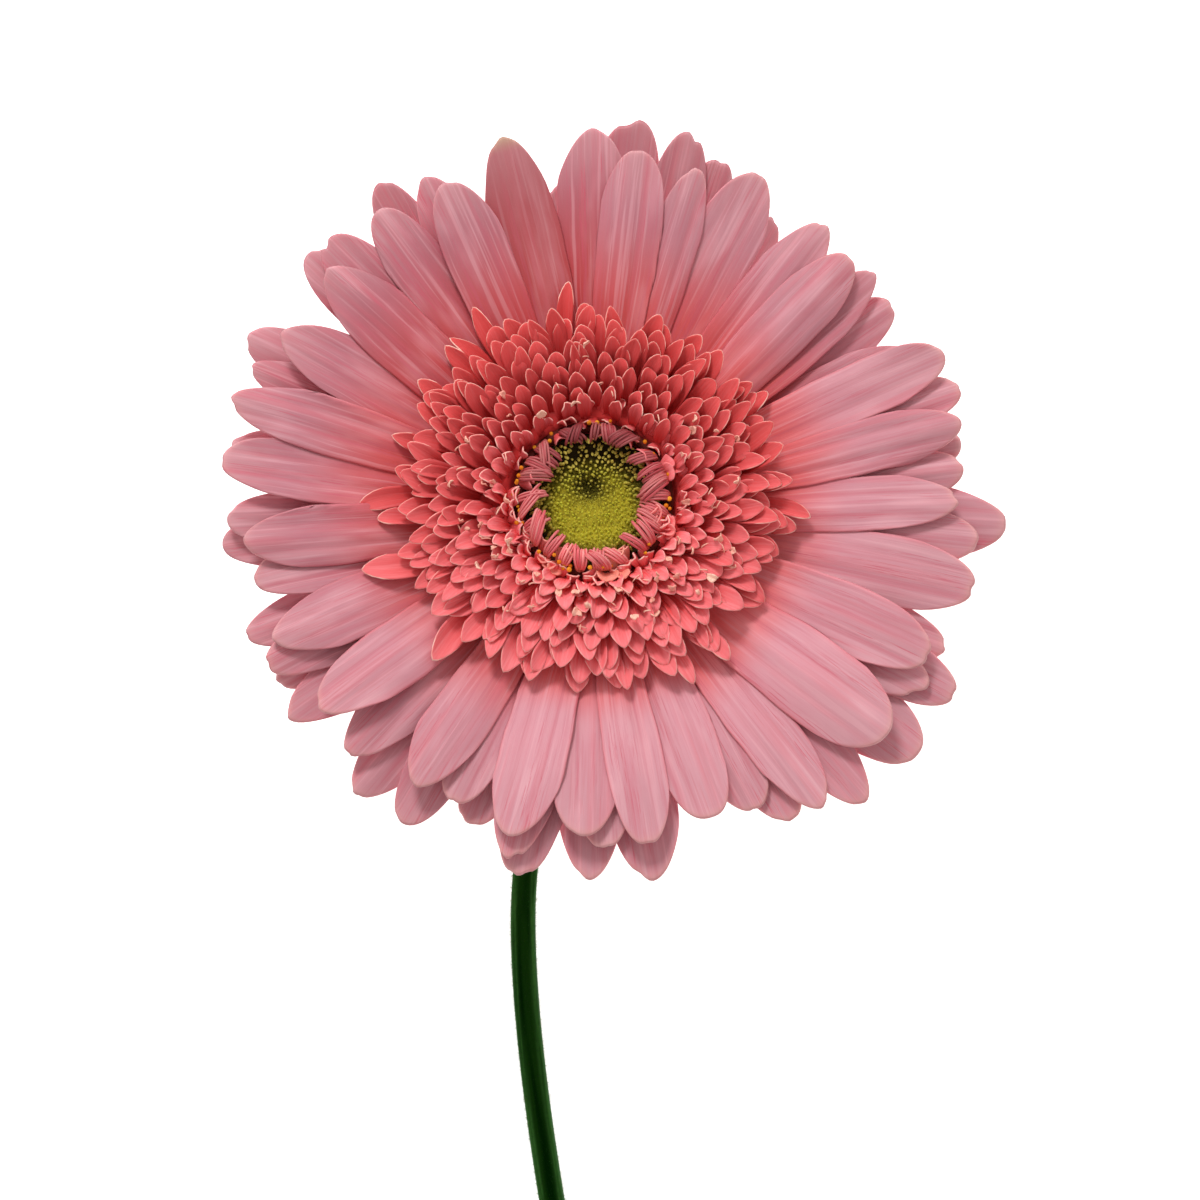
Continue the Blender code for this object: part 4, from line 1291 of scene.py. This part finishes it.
def petal_streaks(paint, base, along, across, own, fine, broad):
    """The base with veins, lighter and darker lanes, bunches of fine lines, and painted shade in its two
    grooves.
    """
    shift = paint.times(own, 37.0)
    hair = paint.grain((across, 30.0), (along, 7.0), shift, 1.0, 3.0, 0.6)
    bunch = paint.grain((across, 2.6), (along, 1.3), paint.maths("ADD", shift, 9.0), 1.0, 1.0)
    lane = paint.grain((across, 6.5), (along, 1.5), paint.maths("ADD", shift, 4.0), 1.0, 3.0, 0.6)
    patchy = paint.grain((across, 1.3), (along, 3.2), shift)
    for value, low, high, most, tint in (
        (fine, 0.5, 0.72, 0.14, PETAL_VEIN),
        (broad, 0.48, 0.72, 0.28, PETAL_FLUSH),
        (patchy, 0.46, 0.72, 0.26, PETAL_PALE),
        (lane, 0.52, 0.66, 0.26, PETAL_PALE),
        (lane, 0.46, 0.36, 0.28, PETAL_LANE),
    ):
        base = paint.tinted(base, tint, value, low, high, most)
    lines = paint.times(paint.remap(hair, 0.55, 0.63, 0.0, 0.55), paint.remap(bunch, 0.46, 0.66))
    base = paint.blend(lines, base, PETAL_LINE)
    # Painted shade: the two grooves are darkened.
    off_groove = paint.maths("ABSOLUTE", paint.maths("SUBTRACT", paint.maths("ABSOLUTE", across), 0.37))
    groove = paint.times(paint.remap(off_groove, 0.14, 0.0, 0.0, 0.14), paint.remap(along, 0.3, 0.5))
    return paint.blend(groove, base, PETAL_GROOVE_SHADE)


def petal_look():
    """Pink with lengthwise streaks, coral towards the root, with a faint rim that is painted shade for the red
    seams between petals along the sides and a paler edge at the tip, and straw to pink below.
    """
    paint = Paint("ray_petal", Roughness=0.6, Specular_IOR_Level=0.08)
    along, across, side, tone_and_shade, own, rim = paint.read("along", "across", "side", "tone_and_shade", "own", "rim")
    shift = paint.times(own, 37.0)
    fine = paint.grain((across, 13.0), (along, 2.6), shift, 1.0, 3.0, 0.6)
    broad = paint.grain((across, 3.4), (along, 1.6), shift)
    streaked = petal_streaks(paint, petal_body(paint, along, tone_and_shade), along, across, own, fine, broad)
    # Painted shade: a coral line along the petal's sides stands for the red shade in the seams between petals;
    # at the tip it turns to a paler edge.
    rim_colour = paint.tinted(PETAL_RIM_SEAM_SHADE, PETAL_RIM_TIP, along, 0.86, 0.98)
    rimmed = paint.blend(paint.times(rim, paint.remap(tone_and_shade, 0.2, 1.0, 0.45, 0.05)), streaked, rim_colour)
    dull = paint.remap(tone_and_shade, 1.0, DULL)
    browned = paint.blend(paint.times(dull, paint.remap(along, 0.3, 0.9, 0.1, 0.6)), rimmed, PETAL_BROWN)
    above = paint.blend(paint.times(dull, paint.remap(along, 0.94, 1.0, 0.0, 0.7)), browned, PETAL_DRY_TIP)
    under = paint.tinted(ink(196, 178, 120), ink(226, 166, 170), along, 0.15, 0.6)
    under = paint.tinted(under, ink(196, 120, 128), fine, 0.45, 0.7, 0.4)
    paint.colour(paint.blend(paint.remap(side, -0.9, 0.0, 1.0, 0.0), above, under))
    paint.rough(paint.remap(fine, 0.3, 0.7, 0.46, 0.64))
    paint.bump(paint.maths("ADD", paint.times(fine, 0.8), paint.times(broad, 0.6)), 0.00018, 0.4)
    paint.soft(0.15, PETAL_GLOW, 0.0005)
    return paint.material


def floret_look():
    """Coral tongues with thin cream rims, darkened by painted shade down to -1 and paler up to 1, partly their
    own tone and partly painted light, with a painted sheen and, below -1.2, a near-black painted shade.
    """
    paint = Paint("small_floret", Roughness=0.6, Specular_IOR_Level=0.08)
    along, across, shade, own, rim = paint.read("along", "across", "tone_and_shade", "own", "rim")
    shift = paint.times(own, 53.0)
    fine = paint.grain((across, 5.0), (along, 2.0), shift, 1.0, 3.0, 0.6)
    light = paint.tinted(FLORET_FOOT, FLORET_TIP, along, 0.2, 0.95)
    each = paint.noise(paint.vector(shift, 0.0, 0.0), 1.0, 1.0)
    light = paint.tinted(light, FLORET_TINT, each, 0.35, 0.7, 0.4)
    # Painted shade: the shaded copy of the colours, which the florets on the upper side of the head take.
    dark = paint.tinted(FLORET_SHADED_FOOT, FLORET_SHADED_TIP, along, 0.2, 0.95)
    base = paint.tinted(light, dark, shade, 0.3, -1.0)
    # Painted highlight: a lighter pink sheen in streaks, most on the lit lower side.
    painted_sheen = paint.times(paint.remap(fine, 0.55, 0.35, 0.0, 0.45), paint.remap(shade, -0.8, 0.2, 0.15, 1.0))
    base = paint.blend(painted_sheen, base, FLORET_PAINTED_SHEEN)
    base = paint.tinted(base, FLORET_VEIN, fine, 0.5, 0.75, 0.25)
    # Painted light, partly the florets' own paler tone: paler tips where the shade is above 0.
    pale_and_lit_tip = paint.times(paint.remap(shade, 0.0, 1.0), paint.remap(along, 0.6, 1.0, 0.0, 0.4))
    base = paint.blend(pale_and_lit_tip, base, FLORET_PALE_AND_LIT_TIP)
    # Painted shade: near black below -1.2, for hidden parts.
    base = paint.tinted(base, FLORET_PAINTED_DARK, shade, -1.2, -2.0)
    base = paint.tinted(base, FLORET_PEACH, shade, 1.0, 1.4, 0.65)
    uneven = paint.remap(paint.noise(paint.vector(across, along, shift), 2.2, 1.0), 0.35, 0.6, 0.45, 1.0)
    edged = paint.times(paint.remap(rim, 0.35, 0.9), uneven)
    paint.colour(paint.blend(edged, base, FLORET_RIM))
    paint.bump(fine, 0.00015, 0.7)
    paint.soft(0.15, PETAL_GLOW, 0.0004)
    return paint.material


def cream_look():
    """Cream to peach, for the crumpled flakes and threads."""
    paint = Paint("style_cream", Roughness=0.5, Specular_IOR_Level=0.2)
    along, across, tone_and_shade, own = paint.read("along", "across", "tone_and_shade", "own")
    shade = paint.blend(tone_and_shade, ink(250, 206, 184), ink(240, 160, 144))
    grain = paint.grain((across, 6.0), (along, 6.0), paint.times(own, 19.0))
    paint.colour(paint.tinted(shade, ink(236, 150, 130), grain, 0.4, 0.7, 0.5))
    paint.bump(grain, 0.0001, 0.6)
    paint.soft(0.08, FLESH_GLOW, 0.0002)
    return paint.material


def strand_look():
    """Striped pink strands, orange at the foot and much darker with painted shade."""
    paint = Paint("curled_strand", Roughness=0.45, Specular_IOR_Level=0.25)
    along, across, tone_and_shade, own = paint.read("along", "across", "tone_and_shade", "own")
    streak = paint.grain((across, 7.0), (along, 1.0), paint.times(own, 29.0))
    body = paint.blend(own, STRAND_LIGHT, STRAND_DARK)
    striped = paint.tinted(body, STRAND_STRIPE, streak, 0.42, 0.62, 0.75)
    # Painted shade: the strands darken towards STRAND_SHADED.
    painted_shade = paint.blend(paint.times(tone_and_shade, 0.85), striped, STRAND_SHADED)
    paint.colour(paint.tinted(painted_shade, STRAND_FOOT, along, 0.3, 0.0, 0.8))
    paint.bump(streak, 0.0001, 0.7)
    paint.soft(0.08, FLESH_GLOW, 0.0002)
    return paint.material


def speckled(name, light, dark, roughness, scale, mottling=0.6):
    """A small thing whose colour runs from light to dark with its tone and painted shade, mottled a little."""
    paint = Paint(name, Roughness=roughness, Specular_IOR_Level=0.15)
    along, across, tone_and_shade, own = paint.read("along", "across", "tone_and_shade", "own")
    grain = paint.grain((across, 5.0), (along, 4.0), paint.times(own, 23.0), scale)
    tone = paint.blend(tone_and_shade, light, dark)
    darker = paint.blend(0.4, tone, ink(90, 60, 20), "MULTIPLY")
    paint.colour(paint.tinted(tone, darker, grain, 0.42, 0.7, mottling))
    paint.bump(grain, 0.0001, 0.6)
    paint.soft(0.12, SPECK_GLOW, 0.0006)
    return paint.material


def bract_look():
    """Green with lengthwise fibres and paler rims."""
    paint = Paint("bract_green", Roughness=0.55)
    along, across, own, rim = paint.read("along", "across", "own", "rim")
    turn = paint.times(across, 2 * math.pi)
    ring = paint.vector(
        paint.times(paint.maths("COSINE", turn), 1.4),
        paint.times(paint.maths("SINE", turn), 1.4),
        paint.maths("ADD", paint.times(along, 3.0), paint.times(own, 11.0)),
    )
    fibre = paint.noise(ring, 1.0, 4.0, 0.6)
    base = paint.tinted(ink(62, 88, 34), ink(112, 136, 62), fibre, 0.35, 0.68)
    paint.colour(paint.blend(paint.times(rim, 0.5), base, ink(150, 160, 96)))
    paint.rough(paint.remap(fibre, 0.3, 0.7, 0.42, 0.66))
    paint.bump(fibre, 0.0002, 0.7)
    paint.soft(0.08, LEAF_GLOW, 0.0008)
    return paint.material


def stem_look():
    """Very dark green along the top of the stem as painted shade, a little lighter down its sides, with fine
    fibres.
    """
    paint = Paint("stem_green", Roughness=0.8, Specular_IOR_Level=0.0)
    along, across = paint.read("along", "across")
    turn = paint.times(across, 2 * math.pi)
    upward = paint.maths("SINE", turn)
    level = paint.maths("COSINE", turn)
    place = paint.vector(paint.times(level, 2.4), paint.times(upward, 2.4), paint.times(along, 22.0))
    fibre = paint.noise(place, 1.0, 4.0, 0.6)
    flank = paint.tinted(*STEM_FLANK, fibre, 0.35, 0.65)
    flank = paint.tinted(flank, STEM_LOW, upward, 0.62, 0.12, 0.8)
    # Painted shade: the top of the stem is darkened.
    top = paint.tinted(*STEM_SHADED_TOP, paint.noise(place, 0.5, 1.0), 0.4, 0.62)
    paint.colour(paint.tinted(flank, top, upward, 0.74, 0.95))
    paint.bump(fibre, 0.0001, 0.6)
    paint.soft(0.05, STEM_GLOW, 0.0004)
    return paint.material


def pith_look():
    """Pale green cells, darker towards the edge of the cut."""
    paint = Paint("stem_pith", Roughness=0.6)
    (along,) = paint.read("along")
    cells = paint.noise(paint.add("ShaderNodeTexCoord", "Object"), 2600.0, 3.0)
    ring = paint.tinted(ink(206, 214, 150), ink(96, 122, 58), along, 0.62, 0.8)
    paint.colour(paint.tinted(ring, ink(150, 166, 96), cells, 0.4, 0.7, 0.5))
    paint.bump(cells, 0.0001, 0.8)
    return paint.material


def floor_look():
    """Near white, with a glow that hides its shadows from the viewer."""
    white = (1.0, 1.0, 1.0, 1.0)
    paint = Paint("floor_paint", Roughness=0.7, Emission_Color=white, Emission_Strength=FLOOR_GLOW)
    grain = paint.noise(paint.add("ShaderNodeTexCoord", "Object"), 40.0, 3.0)
    paint.colour(paint.tinted(ink(248, 248, 248), ink(244, 244, 244), grain, 0.3, 0.7))
    return paint.material


def photo_camera():
    """The camera at the photograph's viewing angle."""
    tilt = LEAN - VIEW_TILT
    place = HEAD + VIEW_DISTANCE * np.array([0.0, math.sin(tilt), math.cos(tilt)])
    up_picture = np.array([0.0, math.cos(tilt), -math.sin(tilt)])
    aim = HEAD + AIM_RIGHT * RIGHT - AIM_DOWN * up_picture
    back = unit(place - aim)
    right = unit(np.cross(up_picture, back))
    lens = bpy.data.cameras.new("camera")
    lens.lens = SENSOR_WIDTH * VIEW_DISTANCE / (PHOTO_WIDTH * PIXEL)
    lens.clip_end = 10
    camera = bpy.data.objects.new("camera", lens)
    stance = np.eye(4)
    stance[:3] = np.stack([right, np.cross(back, right), back, place], -1)
    camera.matrix_world = Matrix(stance.tolist())
    bpy.context.scene.collection.objects.link(camera)
    bpy.context.scene.camera = camera


def key_light():
    """One soft white lamp beyond the top of the head."""
    light = bpy.data.lights.new("key", "AREA")
    light.energy = KEY_POWER
    light.size = KEY_SIZE
    lamp = bpy.data.objects.new("key", light)
    lamp.location = KEY_PLACE
    lamp.rotation_euler = (Vector(KEY_TARGET) - Vector(KEY_PLACE)).to_track_quat("-Z", "Y").to_euler()
    bpy.context.scene.collection.objects.link(lamp)


def fill_light():
    """An even light from all round."""
    world = bpy.data.worlds.new("studio")
    bpy.context.scene.world = world
    world.use_nodes = True
    background = world.node_tree.nodes["Background"]
    background.inputs["Color"].default_value = FILL_COLOUR
    background.inputs["Strength"].default_value = FILL_STRENGTH


def pale_floor():
    """The surface that the flower lies on."""
    corners = [(-FLOOR_HALF, -FLOOR_HALF, 0), (FLOOR_HALF, -FLOOR_HALF, 0)]
    corners += [(FLOOR_HALF, FLOOR_HALF, 0), (-FLOOR_HALF, FLOOR_HALF, 0)]
    mesh = bpy.data.meshes.new("floor")
    mesh.from_pydata(corners, [], [(0, 1, 2, 3)])
    mesh.materials.append(floor_look())
    floor = bpy.data.objects.new("floor", mesh)
    bpy.context.scene.collection.objects.link(floor)


photo_camera()
fill_light()
key_light()
bpy.context.scene.view_settings.view_transform = "Standard"
pale_floor()
ray_petals(petal_look())
small_florets(floret_look(), cream_look())
curled_florets(
    strand_look(),
    speckled("pollen", ink(244, 170, 50), ink(226, 124, 20), 0.5, 1.0),
    floret_look(),
)
# Painted shade: the dark ends of the disc's colours stand partly for shade on the upper side and in the pit.
disc_ground(speckled("disc_ground", ink(184, 170, 45), ink(44, 32, 8), 0.9, 3.0))
disc_buds(speckled("disc_bud", ink(208, 206, 68), ink(196, 178, 84), 0.6, 1.0, 0.4))
disc_fuzz(speckled("disc_fuzz", ink(190, 175, 50), ink(84, 76, 20), 0.6, 1.0, 0.15))
involucre(bract_look())
stem(
    stem_look(),
    pith_look(),
    speckled("stem_hair", ink(96, 144, 88), ink(16, 46, 14), 0.8, 1.0, 0.3),
)
